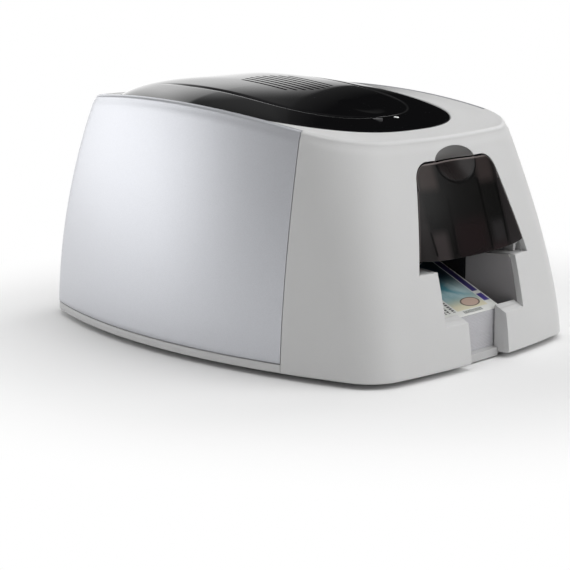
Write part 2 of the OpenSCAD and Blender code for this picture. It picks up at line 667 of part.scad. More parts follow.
module hopper_door() {
  color([0.16, 0.14, 0.14]) {
    difference() {
      union() {
        intersection() {
          housing_wall(0.1, door_t + 0.1);
          along_y(front_y - 5, front_at(1) + 20) door_face(door_gap, ledge_z + 5);
        }
        intersection() {
          housing_solid(0.2);
          scoop_ball(door_t);
          along_y(front_y - 5, front_at(1) + 30) door_face(door_gap + 0.2, ledge_z + 5);
        }
      }
      scoop_ball(0);
    }
    intersection() {
      housing_wall(door_t + 0.05, door_t + 3);
      along_y(front_y - 5, front_at(1) + 20) {
        for (x = [-26, 26]) translate([x - 0.7, ledge_z + 9]) square([1.4, 40]);
        for (x = [-9, 9]) translate([x - 0.7, ledge_z + 9]) square([1.4, 26]);
      }
    }
    in_pair() difference() {
      translate([0, door_axis_y, door_axis_z]) along_x(door_ear_x, door_ear_x + 1.8)
        polygon([[-1.8, 9], [-4.4, 0.4], [-2, -1.8], [0, -2.6], [2, -1.8], [2.6, 0], [2, 9]]);
      rod(door_pin_r + 0.02, door_ear_x - 1, door_ear_x + 3, door_axis_y, door_axis_z);
    }
  }
}

module door_hinge_pins() {
  color(steel) in_pair() rod(door_pin_r, door_ear_x - 0.6, door_ear_x + 4.9, door_axis_y, door_axis_z);
}

// ---- Top cover --------------------------------------------------------------------------

cover_shares = [0.06, 0.3, 0.5, 0.66, 0.79, 0.88, 0.94, 0.98, 1];
// The outline at the share k of its reach, drawn in by the factor e and d below the outer face
function cover_ring(k, e, d) = [for (a = cover_angles) let (p = cover_point(a, k * e)) [p[0], p[1], cover_z(p, k) - d]];

module cover_shell() {
  n = len(cover_shares) - 1;
  skin(concat([for (k = cover_shares) cover_ring(k, inner_k, cover_t)], [cover_ring(1, inner_k, cover_skirt), cover_ring(1, 1, cover_skirt)],
    [for (i = [n:-1:0]) cover_ring(cover_shares[i], 1, 0)]));
}

vent_front_y = cover_y - 25;
vent_x = 6;
dish_y = cover_y - 66;
dish_depth = 1.7;
dish_ball_r = dish_r * dish_r / dish_depth / 2;
button_place = [-9, cover_y - 84.5];
light_place = [8.5, cover_y - 84.8];
light_r = 1.8;
button_r = 3;
module top_cover() {
  color(smoke) {
    difference() {
      cover_shell();
      for (i = [0:vent_n - 1]) let (x = (i - (vent_n - 1) / 2) * vent_pitch) translate([vent_x + x - vent_w / 2, vent_front_y + x * x / 90, cover_top_z - 14])
        cube([vent_w, vent_l - x * x / 45, 30]);
      translate([0, dish_y, over_z([0, dish_y]) + dish_ball_r - dish_depth]) sphere(r = dish_ball_r, $fn = 60);
      translate([button_place[0], button_place[1], 100]) cylinder(r = button_r + 0.3, h = 80, $fn = 32);
      translate([light_place[0], light_place[1], 100]) cylinder(r = light_r + 0.1, h = 80, $fn = 32);
    }
    intersection() {
      difference() {
        in_pair() along_x(frame_in - 6, frame_in - 2) polygon([[hinge_y - 4, hinge_z], [hinge_y - 2.8, hinge_z - 2.8],
          [hinge_y, hinge_z - 3.8], [hinge_y + 2.8, hinge_z - 2.6], [hinge_y + 3.8, hinge_z], [hinge_y + 3.8, hinge_z + 20],
          [hinge_y - 22, hinge_z + 20], [hinge_y - 22, hinge_z + 6]]);
        rod(2.02, -frame_in, frame_in, hinge_y, hinge_z);
      }
      skin(concat([cover_ring(1, 1 - cover_t / 100, 40)], [for (i = [len(cover_shares) - 1:-1:0]) cover_ring(cover_shares[i], 1, 0.6)]));
    }
  }
}

module cover_hinge_pin() {
  color(steel) {
    rod(2, -frame_out - 1.6, frame_out + 1.6, hinge_y, hinge_z);
    in_pair() rod(3.2, frame_out + 0.6, frame_out + 1.8, hinge_y, hinge_z);
  }
}

latch_x = 34;
latch_y = cover_y - 88;
module cover_latches() {
  z = under_z([latch_x, latch_y]) - 0.6;
  color(smoke) in_pair() along_x(latch_x - 4, latch_x + 4)
    polygon([[latch_y, z + 0.5], [latch_y + 2.2, z + 0.5], [latch_y + 2.2, z - 14], [latch_y - 1.8, z - 11], [latch_y - 1.8, z - 9.4], [latch_y, z - 9.4]]);
}

module push_button() {
  z = over_z(button_place);
  color(rubber) translate([button_place[0], button_place[1], z - 8]) {
    cylinder(r = button_r, h = 8.2, $fn = 40);
    cylinder(r = button_r + 1.6, h = 1.4, $fn = 40);
  }
}

module status_light() {
  z = over_z(light_place) + 0.4;
  color([0.9, 1, 0.95]) translate([light_place[0], light_place[1], z - 7]) {
    cylinder(r = light_r, h = 6, $fn = 32);
    translate([0, 0, 6]) intersection() {
      cylinder(r = light_r, h = 3, $fn = 32);
      translate([0, 0, -1.6]) sphere(r = 2.6, $fn = 32);
    }
  }
}

head_z = card_path_z + 1.2;
module head_bracket() {
  top = under_z([31, platen_y - 6]) - 0.3;
  color(steel) {
    in_pair() along_x(29, 31) polygon([[platen_y - 6, top - 1], [platen_y + 20, top - 1], [platen_y + 8, head_z + 14], [platen_y + 8, head_z + 8], [platen_y - 8, head_z + 8],
      [platen_y - 8, head_z + 22]]);
    translate([-31, platen_y - 8, head_z + 8]) cube([62, 16, 2]);
    in_pair() translate([22, platen_y - 4, top - 2]) cube([9, 22, 1.6]);
  }
}

module print_head() {
  color([0.28, 0.29, 0.31]) {
    along_x(-30, 30) polygon([[platen_y - 7, head_z + 7.9], [platen_y - 7, head_z + 3], [platen_y - 2, head_z], [platen_y + 2, head_z], [platen_y + 7, head_z + 3], [platen_y + 7, head_z + 7.9]]);
    for (x = [-24:6:24]) translate([x - 1, platen_y - 6.5, head_z + 10.1]) cube([2, 13, 8]);
  }
}

// ---- Card transport ------------------------------------------------------------------------

module roller(y, r, half) {
  rod(r, -half, half, y, shaft_z);
}

module shaft(y, z, r, left, right) {
  rod(r, -left, right, y, z);
}

shaft_left = gear_x + gear_w + 1;
shaft_right = frame_out + 1.5;
module card_roller(y, sleeves) {
  color(steel) shaft(y, shaft_z, shaft_r, shaft_left, shaft_right);
  color(rubber) for (s = sleeves) rod(roller_r, s[0], s[1], y, shaft_z);
}

module feed_roller() {
  card_roller(feed_y, [[-20, -6], [6, 20]]);
}

module entry_roller() {
  card_roller(entry_y, [[-card_w / 2, card_w / 2]]);
}

module platen_roller() {
  card_roller(platen_y, [[-card_w / 2 - 2, card_w / 2 + 2]]);
}

module exit_roller() {
  card_roller(exit_y, [[-card_w / 2, card_w / 2]]);
}

module pinch_roller(y) {
  color(steel) shaft(y, pinch_z, 2, frame_out + 0.2, frame_out + 0.2);
  color(rubber) rod(pinch_r, -card_w / 2, card_w / 2, y, pinch_z);
}

module entry_pinch_roller() {
  pinch_roller(entry_y);
}

module exit_pinch_roller() {
  pinch_roller(exit_y);
}

// Involute gear outline: n teeth of module m, one tooth centred on the first axis
pressure = 20;
backlash = 0.12;
function involute(a) = tan(a) * 180 / PI - a;
module gear_outline(m, n) {
  r = m * n / 2;
  base = r * cos(pressure);
  tip = r + 0.85 * m;
  root = r - 1.15 * m;
  half = (90 - backlash / r * 180 / PI / 2) / n + involute(pressure);
  a_tip = acos(base / tip);
  flank = [for (i = [0:3]) let (a = a_tip * i / 3) [base / cos(a), half - involute(a)]];
  polygon([for (k = [0:n - 1]) each concat(
    [[root * cos(360 * k / n - half - 1), root * sin(360 * k / n - half - 1)]],
    [for (f = flank) [f[0] * cos(360 * k / n - f[1]), f[0] * sin(360 * k / n - f[1])]],
    [for (i = [3:-1:0]) [flank[i][0] * cos(360 * k / n + flank[i][1]), flank[i][0] * sin(360 * k / n + flank[i][1])]],
    [[root * cos(360 * k / n + half + 1), root * sin(360 * k / n + half + 1)]])]);
}

// Gear on the outside of a side frame, turned by phase, with its bore and a hub
module gear(n, y, z, phase, bore, mate = 0) {
  translate([0, y, z]) rotate([phase, 0, 0]) difference() {
    union() {
      along_x(0, gear_w) gear_outline(gear_m, n);
      rod(bore + 2, -0.6, gear_w + 0.6, 0, 0);
    }
    rod(bore, -2, gear_w + 2, 0, 0);
    if (n > 20) for (a = [0:60:300]) rotate([a, 0, 0]) rod(gear_m * n / 14, -2, gear_w + 2, gear_m * n / 4.1 + bore / 4, 0);
  }
}

module left_gear(n, y, z, phase, bore) {
  translate([-gear_x - gear_w, 0, 0]) gear(n, y, z, phase, bore);
}

function half_tooth(n) = 180 / n;

module feed_gear() {
  color(white_plastic) left_gear(roller_teeth, feed_y, shaft_z, 0, shaft_r);
}

module entry_gear() {
  color(white_plastic) left_gear(roller_teeth, entry_y, shaft_z, 0, shaft_r);
}

module platen_gear() {
  color(white_plastic) left_gear(roller_teeth, platen_y, shaft_z, 0, shaft_r);
}

module exit_gear() {
  color(white_plastic) left_gear(roller_teeth, exit_y, shaft_z, 0, shaft_r);
}

module feed_idler() {
  color(white_plastic) left_gear(feed_idler_teeth, feed_idler_y, shaft_z, half_tooth(feed_idler_teeth), 2.5 + fit);
}

module front_idler() {
  color(white_plastic) left_gear(idler_teeth, front_idler_y, shaft_z, half_tooth(idler_teeth), 2.5 + fit);
}

module rear_idler() {
  color(white_plastic) left_gear(idler_teeth, rear_idler_y, shaft_z, half_tooth(idler_teeth), 2.5 + fit);
}

motor_r = 13;
motor_l = 24;
// Motor beyond the gears, held off its frame by two pillars
module motor(y, z) {
  x = gear_x + gear_w + 3;
  color(steel) translate([x, y, z]) rotate([0, 90, 0]) difference() {
    union() {
      cylinder(r = motor_r, h = motor_l, $fn = 64);
      translate([0, 0, motor_l]) cylinder(r = 4, h = 1.5, $fn = 32);
      rotate(90) for (s = [-1, 1]) translate([s * (motor_r + 2.5), 0, 0]) cylinder(r = 3.4, h = 1.6, $fn = 32);
      rotate(90) translate([-motor_r - 2.5, -3.4, 0]) cube([2 * motor_r + 5, 6.8, 1.6]);
    }
    translate([0, 0, -1]) cylinder(r = 1 + fit, h = 12, $fn = 24);
  }
  color(steel) for (s = [-1, 1]) rod(2, frame_out + 0.1, x, y + s * (motor_r + 2.5), z);
}

module drive_motor() {
  mirror([1, 0, 0]) motor(platen_y, motor_z);
}

module drive_pinion() {
  color(steel) {
    left_gear(pinion_teeth, platen_y, motor_z, half_tooth(pinion_teeth) - 0, 1);
    rod(1, -gear_x - gear_w - 12, -gear_x, platen_y, motor_z);
  }
}

// ---- Ribbon ----------------------------------------------------------------------------------

module spool(y, z, reach_right) {
  color(white_plastic) {
    rod(5, -33, 33, y, z);
    rod(3.5, -frame_out - 1.5, reach_right, y, z);
    in_pair() rod(7.5, 33, 34.5, y, z);
    in_pair() rod(6, 38, 43, y, z);
  }
}

module roll(r, y, z) {
  difference() {
    rod(r, -30, 30, y, z);
    rod(5, -31, 31, y, z);
  }
}

module ribbon_supply() {
  spool(supply_y, supply_z, frame_out + 1.5);
}

module supply_ribbon_roll() {
  color([0.42, 0.13, 0.25]) roll(ribbon_r, supply_y, supply_z);
}

module ribbon_takeup() {
  spool(takeup_y, takeup_z, gear_x + gear_w + 1);
}

module takeup_ribbon_roll() {
  color([0.14, 0.24, 0.42]) roll(takeup_r, takeup_y, takeup_z);
}

module takeup_gear() {
  color(white_plastic) translate([gear_x, 0, 0]) gear(roller_teeth, takeup_y, takeup_z, 0, 3.5);
}

module ribbon_motor() {
  motor(takeup_y, takeup_pinion_z);
}

module ribbon_pinion() {
  color(steel) {
    translate([gear_x, 0, 0]) gear(pinion_teeth, takeup_y, takeup_pinion_z, half_tooth(pinion_teeth), 1);
    rod(1, gear_x, gear_x + gear_w + 12, takeup_y, takeup_pinion_z);
  }
}

// ---- Electrics at the rear -----------------------------------------------------------------------

module main_board() {
  color([0.12, 0.36, 0.22]) translate([-frame_in + 2, board_y, 0]) {
    translate([0, 0, frame_foot]) cube([2 * frame_in - 4, 1.6, 42]);
    for (x = [12, 36, 62]) translate([x, -3, 24]) cube([10, 3.1, 10]);
  }
}

function rear_face(z) = rear_at(share(rear_y - 5, z));

module power_inlet() {
  y = rear_face(inlet_z) - 0.4;
  color(rubber) difference() {
    translate([inlet_x - 6.6, y - 17, inlet_z - 5.6]) cube([13.2, 17, 11.2]);
    translate([inlet_x, y + 1, inlet_z]) rotate([90, 0, 0]) cylinder(r = 3.2, h = 12, $fn = 40);
  }
  color(steel) translate([inlet_x, y - 2, inlet_z]) rotate([90, 0, 0]) cylinder(r = 1, h = 10, $fn = 24);
}

module usb_socket() {
  y = rear_face(inlet_z) - 0.4;
  color(steel) difference() {
    translate([usb_x - 6.4, y - 18, inlet_z - 6]) cube([12.8, 18, 12]);
    along_y(y - 12, y + 1) translate([usb_x, inlet_z]) polygon([[-5.4, -5], [5.4, -5], [5.4, 2.8], [3.2, 5], [-3.2, 5], [-5.4, 2.8]]);
  }
  color(white_plastic) translate([usb_x - 3, y - 12.1, inlet_z - 3.4]) cube([6, 10, 3]);
}

rocker_swing = 16;
rocker_y = rear_face(inlet_z) - 4;
// Rocker of the mains switch, at rest with its lower end pressed in
module power_switch() {
  color(rubber) translate([0, rocker_y, inlet_z]) rotate([-rocker_swing / 2, 0, 0]) along_x(switch_x - 4.4, switch_x + 4.4)
    polygon([[0.5, -6.4], [2.4, -6.2], [3.4, 0], [2.4, 6.2], [0.5, 6.4], [-2.5, 3], [-2.5, -3]]);
}

module switch_case() {
  color(smoke) difference() {
    translate([switch_x - 5.1, rocker_y - 14, inlet_z - 7.5]) cube([10.2, 14.6, 15]);
    translate([switch_x - 4.7, rocker_y - 4.5, inlet_z - 7]) cube([9.4, 20, 14]);
  }
}

fan_y = rear_face(fan_z + fan_half) - pow(abs(fan_x) + fan_half, 2) / (2 * rear_arc_r) - wall - 0.3;
module fan_frame() {
  color(smoke) translate([fan_x, fan_y, fan_z]) rotate([90, 0, 0]) difference() {
    translate([-fan_half, -fan_half, 0]) cube([2 * fan_half, 2 * fan_half, 10]);
    difference() {
      translate([0, 0, -1]) cylinder(r = fan_half - 1.5, h = 12, $fn = 64);
      translate([0, 0, 8]) cylinder(r = 8, h = 2, $fn = 40);
      for (a = [0:90:270]) rotate(a + 45) translate([0, -1, 8]) cube([fan_half, 2, 2]);
    }
    translate([0, 0, 6]) cylinder(r = 1 + fit, h = 5, $fn = 24);
    for (x = [-1, 1], y = [-1, 1]) translate([x * (fan_half - 3), y * (fan_half - 3), -1]) cylinder(r = 1.6, h = 12, $fn = 24);
  }
}

module fan_rotor() {
  color(smoke) translate([fan_x, fan_y, fan_z]) rotate([90, 0, 0]) {
    translate([0, 0, 1]) cylinder(r = 7.5, h = 6, $fn = 40);
    translate([0, 0, 6.9]) cylinder(r = 1, h = 2.6, $fn = 24);
    for (a = [0:60:300]) rotate(a) translate([6.5, -0.6, 1.5]) rotate([35, 0, 0]) cube([fan_half - 9.5, 4.6, 1]);
  }
}

base_tray();
rubber_feet();
base_screws();
front_casing();
left_side_panel();
right_side_panel();
rear_panel();
finger_scoop();
output_tray();
printed_cards();
left_frame();
right_frame();
frame_bars();
card_hopper();
card_weight();
door_hinge_blocks();
hopper_door();
door_hinge_pins();
top_cover();
cover_hinge_pin();
cover_latches();
push_button();
status_light();
head_bracket();
print_head();
feed_roller();
feed_gear();
entry_roller();
entry_gear();
entry_pinch_roller();
platen_roller();
platen_gear();
exit_roller();
exit_gear();
exit_pinch_roller();
feed_idler();
front_idler();
rear_idler();
drive_motor();
drive_pinion();
ribbon_supply();
supply_ribbon_roll();
ribbon_takeup();
takeup_ribbon_roll();
takeup_gear();
ribbon_motor();
ribbon_pinion();
main_board();
power_inlet();
usb_socket();
switch_case();
power_switch();
fan_frame();
fan_rotor();
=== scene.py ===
"""Looks of the desktop card printer: smooth housing shells, smoked cover and door, cards, finishes and stage.

The moulded skins are computed from the same form as the solids: a bowed plan drawn by arcs, which shrinks
towards the rim, under a domed cover. Lengths in the formulas are millimetres.
"""

import json

import bmesh
import bpy
import numpy as np
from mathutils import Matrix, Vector


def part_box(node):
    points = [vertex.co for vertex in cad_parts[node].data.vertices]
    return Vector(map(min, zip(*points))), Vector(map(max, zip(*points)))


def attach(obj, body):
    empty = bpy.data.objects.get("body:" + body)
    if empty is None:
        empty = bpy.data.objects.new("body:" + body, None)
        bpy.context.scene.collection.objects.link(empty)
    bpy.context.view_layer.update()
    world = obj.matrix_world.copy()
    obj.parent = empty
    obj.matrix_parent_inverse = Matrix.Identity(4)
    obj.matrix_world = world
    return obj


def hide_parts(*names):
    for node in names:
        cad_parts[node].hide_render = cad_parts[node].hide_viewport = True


bl_info = {
    "name": "Card printer",
    "version": (1, 0, 0),
    "blender": (4, 5, 0),
    "location": "View3D > Sidebar > Card printer",
    "description": "Builds the visible skins and finishes of a desktop card printer",
    "category": "Object",
}

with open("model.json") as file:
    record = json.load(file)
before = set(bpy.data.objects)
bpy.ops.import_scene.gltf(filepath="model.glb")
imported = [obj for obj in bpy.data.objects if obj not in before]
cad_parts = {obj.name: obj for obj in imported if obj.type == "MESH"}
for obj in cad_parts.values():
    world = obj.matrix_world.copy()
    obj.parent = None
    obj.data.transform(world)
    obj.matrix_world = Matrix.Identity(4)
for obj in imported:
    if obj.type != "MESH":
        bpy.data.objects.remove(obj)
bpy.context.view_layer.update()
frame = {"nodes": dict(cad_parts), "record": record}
MM = 0.001


# ---- Sizes and colours that a user would change -------------------------------------


def length_property(name, text, value):
    """A length with its name, its use and its default"""
    return bpy.props.FloatProperty(name=name, description=text, default=value, unit="LENGTH")


def colour_property(name, text, value):
    """A colour swatch with its name, its use and its default"""
    return bpy.props.FloatVectorProperty(
        name=name, description=text, subtype="COLOR", size=3, min=0, max=1, default=value
    )


class PrinterSizes(bpy.types.PropertyGroup):
    """Sizes of the housing, the cover and the cards"""

    width: length_property("Width", "Largest width of the housing at its base", 0.221)
    length: length_property("Length", "Length of the housing at its base", 0.311)
    rim_front: length_property("Front rim", "Height of the rim at the front", 0.131)
    rim_rear: length_property("Rear rim", "Height of the rim at the rear", 0.145)
    rim_bow: length_property("Rim bow", "Rise of the rim half way along", 0.0108)
    crown: length_property("Crown", "Rise of the cover above its edge", 0.0095)
    cards: bpy.props.IntProperty(
        name="Cards", description="Printed cards in the output tray", default=26, min=1, max=40
    )
    card_step: length_property("Card pitch", "Upright distance from card to card", 0.000865)


class PrinterColours(bpy.types.PropertyGroup):
    """Base colours of the finishes"""

    casing: colour_property("Casing", "Moulded light grey of the casing", (0.62, 0.62, 0.618))
    silver: colour_property("Side panels", "Silver lacquer of the side panels", (0.53, 0.54, 0.57))
    smoke: colour_property("Cover", "Smoked black of the top cover", (0.004, 0.004, 0.0045))
    door: colour_property("Door", "Brown black of the hopper door", (0.0058, 0.0056, 0.0054))
    card_band: colour_property("Card band", "Band along the printed cards", (0.05, 0.035, 0.22))
    card_field: colour_property("Card field", "Picture field of the printed cards", (0.10, 0.34, 0.42))


def sizes():
    """The sizes that the user has set"""
    return bpy.context.scene.printer_sizes


def colours():
    """The colours that the user has set"""
    return bpy.context.scene.printer_colours


# ---- The housing's form --------------------------------------------------------------


class Form:
    """Plan, rim and cover of the housing as functions of numpy arrays, in millimetres.

    The plan has one arc for each side, joined by corner arcs. From the foot to the rim each wall leans in
    by its lean times the share of the way up, raised to its bow. The places widest_from, seam_from and
    cover_from are distances behind the front."""

    foot, side_r, front_r, rear_r = 3.2, 403.0, 507.0, 420.0
    base_corner, rim_corner, rear_corner = 24.0, 42.0, 24.0
    widest_from, seam_from, cover_from = 116.0, 69.0, 162.8
    side_lean, front_lean, rear_lean = 17.4, 32.5, 38.0
    side_bow, front_bow, rear_bow = 1.54, 1.55, 2.15
    seam_gap, corner_gap, wall, rim_inset, panel_foot = 0.4, 0.8, 3.0, 3.4, 8.6
    cover_half, cover_front, cover_rear, cover_square = 84.6, 105.0, 89.0, 2.58
    cover_drop, cover_wall, cover_skirt, side_rim = 3.3, 2.4, 5.0, 5.3
    dome_fall, dome_shoulder, dome_tilt = 2.53, 0.63, 0.0082
    mean_reach, rear_blend = 90.0, 9.0

    def __init__(self, s):
        self.width, self.length, self.crown = s.width / MM, s.length / MM, s.crown / MM
        self.rim_f, self.rim_r, self.bow = s.rim_front / MM, s.rim_rear / MM, s.rim_bow / MM
        self.front_y, self.rear_y = -self.length / 2, self.length / 2
        self.widest, self.seam = self.front_y + self.widest_from, self.front_y + self.seam_from
        self.cover_y = self.front_y + self.cover_from

    def half_width(self, s):
        """Half width at the height share s: it shrinks with a power of the share."""
        return self.width / 2 - self.side_lean * s**self.side_bow

    def front_at(self, s):
        """Depth of the front's middle at the share s: it leans back with a power of the share."""
        return self.front_y + self.front_lean * s**self.front_bow

    def rear_at(self, s):
        """Depth of the rear's middle at the share s: it leans forward with a power of the share."""
        return self.rear_y - self.rear_lean * s**self.rear_bow

    def rim(self, y):
        """Height of the rim at y: a straight line with a parabolic bow."""
        a = (y - self.front_at(1.0)) / (self.rear_at(1.0) - self.front_at(1.0))
        return self.rim_f + (self.rim_r - self.rim_f) * a + 4 * self.bow * a * (1 - a)

    def share(self, y, z):
        """Share of the way from the foot to the rim at the depth y and the height z."""
        return np.clip((z - self.foot) / (self.rim(y) - self.foot), 0, 1)

    @staticmethod
    def crossing(side, other, r):
        """Centre of a corner of radius r: where the arcs side and other, each drawn in by r, cross."""
        (px, py, a), (qx, qy, b) = side, other
        a, b = a - r, b - r
        dx, dy = qx - px, qy - py
        d = np.hypot(dx, dy)
        along = (a * a - b * b + d * d) / (2 * d)
        off = np.sqrt(np.maximum(a * a - along * along, 0))
        ux, uy = dx / d, dy / d
        one = (px + along * ux + off * uy, py + along * uy - off * ux)
        two = (px + along * ux - off * uy, py + along * uy + off * ux)
        pick = one[0] > two[0]
        return np.where(pick, one[0], two[0]), np.where(pick, one[1], two[1]), r

    def circles(self, s, e):
        """Centres and radii of the side, front, rear and corner arcs at the share s, drawn in by e."""
        s, e = np.broadcast_arrays(np.atleast_1d(s)[:, None], np.atleast_1d(e)[:, None])
        corner = self.base_corner + (self.rim_corner - self.base_corner) * s
        side = (self.half_width(s) - self.side_r, self.widest + 0 * s, self.side_r - e)
        front = (0 * s, self.front_at(s) + self.front_r, self.front_r - e)
        rear = (0 * s, self.rear_at(s) - self.rear_r, self.rear_r - e)
        front_corner = self.crossing(side, front, np.maximum(corner - e, 1))
        return side, front, rear, front_corner, self.crossing(side, rear, np.maximum(self.rear_corner - e, 1))

    @staticmethod
    def arc(circle, a, b, n, skip=1):
        """Points along a circle from the angle a to the angle b in n steps, without the first skip points."""
        cx, cy, r = circle
        turn = a + (b - a) * np.linspace(0, 1, n + 1)[None, skip:]
        return np.stack([cx + r * np.cos(turn), cy + r * np.sin(turn)], -1)

    @staticmethod
    def bearing(circle, to):
        """Direction from one circle's centre to another's."""
        return np.arctan2(to[1] - circle[1], to[0] - circle[0])

    def front_section(self, s, e, n=(22, 26, 14)):
        """Right half of the plan from the front's middle to the seam: front, corner and side arcs."""
        side, front, _, corner, _ = self.circles(s, e)
        enter, leave = self.bearing(front, corner), self.bearing(side, corner)
        seam = np.arcsin((self.seam - side[1]) / side[2])
        join = np.minimum(side[1] + side[2] * np.sin(leave), self.seam - self.corner_gap)
        turn, start = np.arcsin((join - corner[1]) / corner[2]), np.arcsin((join - side[1]) / side[2])
        arcs = (front, -np.pi / 2, enter, n[0], 0), (corner, enter, turn, n[1]), (side, start, seam, n[2])
        return np.concatenate([self.arc(*a) for a in arcs], 1)

    def side_section(self, s, e, n=(60, 20)):
        """Right side of the plan from the seam's gap to the end of the rear corner: side and corner arcs."""
        side, _, rear, _, corner = self.circles(s, e)
        start = np.arcsin((self.seam + self.seam_gap - side[1]) / side[2])
        enter, leave = self.bearing(side, corner), self.bearing(rear, corner)
        arcs = (side, start, enter, n[0], 0), (corner, enter, leave, n[1])
        return np.concatenate([self.arc(*a) for a in arcs], 1)

    def rear_section(self, s, e, n=24):
        """Right half of the rear from the panel's gap to the middle: one arc."""
        _, _, rear, _, corner = self.circles(s, e)
        return self.arc(rear, self.bearing(rear, corner) + self.seam_gap / rear[2], np.pi / 2, n, 0)

    def lift(self, plan, s, d):
        """Puts a plan at its height: the share s of the way to the rim, plus d."""
        s, d = np.atleast_1d(s)[:, None], np.atleast_1d(d)[:, None]
        z = self.foot + s * (self.rim(plan[..., 1]) - self.foot) + d
        return np.concatenate([plan, z[..., None]], -1)

    def front_face(self, x, z):
        """Depth of the front wall's outer face at x and z, found by repeated substitution."""
        x, z = np.broadcast_arrays(np.asarray(x, float), np.asarray(z, float))
        y = np.full(x.shape, self.front_y)
        sag = self.front_r - np.sqrt(self.front_r**2 - x * x)
        for _ in range(8):
            y = self.front_at(self.share(y, z)) + sag
        return y

    def rear_middle(self, x, z):
        """Depth of the middle of the rear wall's thickness at x and z: its arc as a parabola."""
        return self.rear_at(self.share(self.rear_y - 5, z)) - x**2 / (2 * self.rear_r) - self.wall / 2

    def reach(self, a):
        """Distance from the cover's centre to its edge in the direction a: at the rear the side arc and the
        rear line blended by high powers, at the front a superellipse."""
        c, s = np.abs(np.cos(a)), np.sin(a)
        cx, cy = self.half_width(1.0) - self.side_r, self.widest - self.cover_y
        r = self.side_r - self.side_rim
        b = c * cx + s * cy
        side = b + np.sqrt(np.maximum(b * b + r * r - cx * cx - cy * cy, 1))
        side0 = cx + np.sqrt(r * r - cy * cy)
        n = self.rear_blend
        rear = (side**-n + (np.maximum(s, 0) / self.cover_rear) ** n) ** (-1 / n)
        rear = rear * np.minimum(1, (self.cover_half + (side0 - self.cover_half) * s) / side0)
        q = self.cover_square
        front = ((c / self.cover_half) ** q + (np.abs(s) / self.cover_front) ** q) ** (-1 / q)
        return np.where(s > 0, rear, front)

    def cover_height(self, y, k):
        """Height of the cover's outer face: the rim, less the drop, plus a dome that falls to the edge."""
        dome = self.crown * np.power(np.maximum(1 - np.power(k, self.dome_fall), 0), self.dome_shoulder)
        return self.rim(y) - self.cover_drop + dome * (1 + self.dome_tilt * (y - self.cover_y))

    def cover_at(self, x, y):
        """Height of the cover's outer face over a point of the plan."""
        k = np.hypot(x, y - self.cover_y) / self.reach(np.arctan2(y - self.cover_y, x))
        return self.cover_height(y, np.clip(k, 0, 1))

    def cover_ring(self, a, k):
        """Plan of a ring round the cover's centre: its edge in the directions a, drawn in by the share k."""
        r = self.reach(a) * k
        return np.stack([r * np.cos(a), self.cover_y + r * np.sin(a)], -1)


# ---- Making meshes -------------------------------------------------------------------


def grid_faces(rows, cols, wrap_rows=False, wrap_cols=False, start=0):
    """Quads between the points of a grid, numbered row by row."""
    r = np.arange(rows if wrap_rows else rows - 1)
    c = np.arange(cols if wrap_cols else cols - 1)
    r, c = np.meshgrid(r, c, indexing="ij")
    r2, c2 = (r + 1) % rows, (c + 1) % cols
    quad = np.stack([r * cols + c, r * cols + c2, r2 * cols + c2, r2 * cols + c], -1)
    return (quad.reshape(-1, 4) + start).tolist()


def shade_smooth(piece, angle):
    """Smooth shading, sharp where two faces meet at more than the angle."""
    piece.data.shade_smooth()
    piece.data.set_sharp_from_angle(angle=angle)


def make_piece(name, points, faces, uv=None, smooth=True):
    """A mesh object at the origin from points in millimetres."""
    mesh = bpy.data.meshes.new(name)
    mesh.from_pydata((np.asarray(points, float).reshape(-1, 3) * MM).tolist(), [], faces)
    if uv is not None:
        layer = mesh.uv_layers.new(name="along")
        index = np.empty(len(mesh.loops), np.int32)
        mesh.loops.foreach_get("vertex_index", index)
        layer.data.foreach_set("uv", np.asarray(uv, float)[index].ravel())
    mesh.update()
    mesh.validate()
    if smooth:
        mesh.shade_smooth()
    piece = bpy.data.objects.new(name, mesh)
    bpy.context.scene.collection.objects.link(piece)
    return piece


def face_outwards(piece, merge=True):
    """Turns a closed mesh's faces outwards, after its doubles are merged."""
    work = bmesh.new()
    work.from_mesh(piece.data)
    if merge:
        bmesh.ops.remove_doubles(work, verts=work.verts, dist=1e-6)
    bmesh.ops.recalc_face_normals(work, faces=work.faces)
    work.to_mesh(piece.data)
    work.free()
    piece.data.update()


def closed_piece(name, points, faces, uv=None, smooth=True):
    """A closed mesh object with its faces outwards."""
    piece = make_piece(name, points, faces, uv, smooth)
    face_outwards(piece)
    return piece


def settle(piece):
    """Applies every modifier of a piece."""
    bpy.context.view_layer.update()
    made = bpy.data.meshes.new_from_object(piece.evaluated_get(bpy.context.evaluated_depsgraph_get()))
    piece.modifiers.clear()
    old, piece.data = piece.data, made
    made.name = piece.name
    bpy.data.meshes.remove(old)


def prism(name, outline, low, high, axis=1):
    """A closed outline carried straight along one axis from low to high."""
    outline = np.asarray(outline, float)
    n = len(outline)
    across = {0: (1, 2), 1: (0, 2), 2: (0, 1)}[axis]
    points = np.zeros((2, n, 3))
    points[:, :, across] = outline
    points[0, :, axis], points[1, :, axis] = low, high
    faces = grid_faces(2, n, wrap_cols=True) + [list(range(n)), list(range(2 * n - 1, n - 1, -1))]
    return closed_piece(name, points, faces, smooth=False)


def section_solid(name, rows, angle=0.6):
    """A closed section carried along an open path, its ends closed by one face each."""
    n, m = rows.shape[:2]
    faces = grid_faces(n, m, wrap_rows=True)
    faces += [[r * m for r in range(n)], [r * m + m - 1 for r in range(n)]]
    piece = closed_piece(name, rows, faces)
    shade_smooth(piece, angle)
    return piece


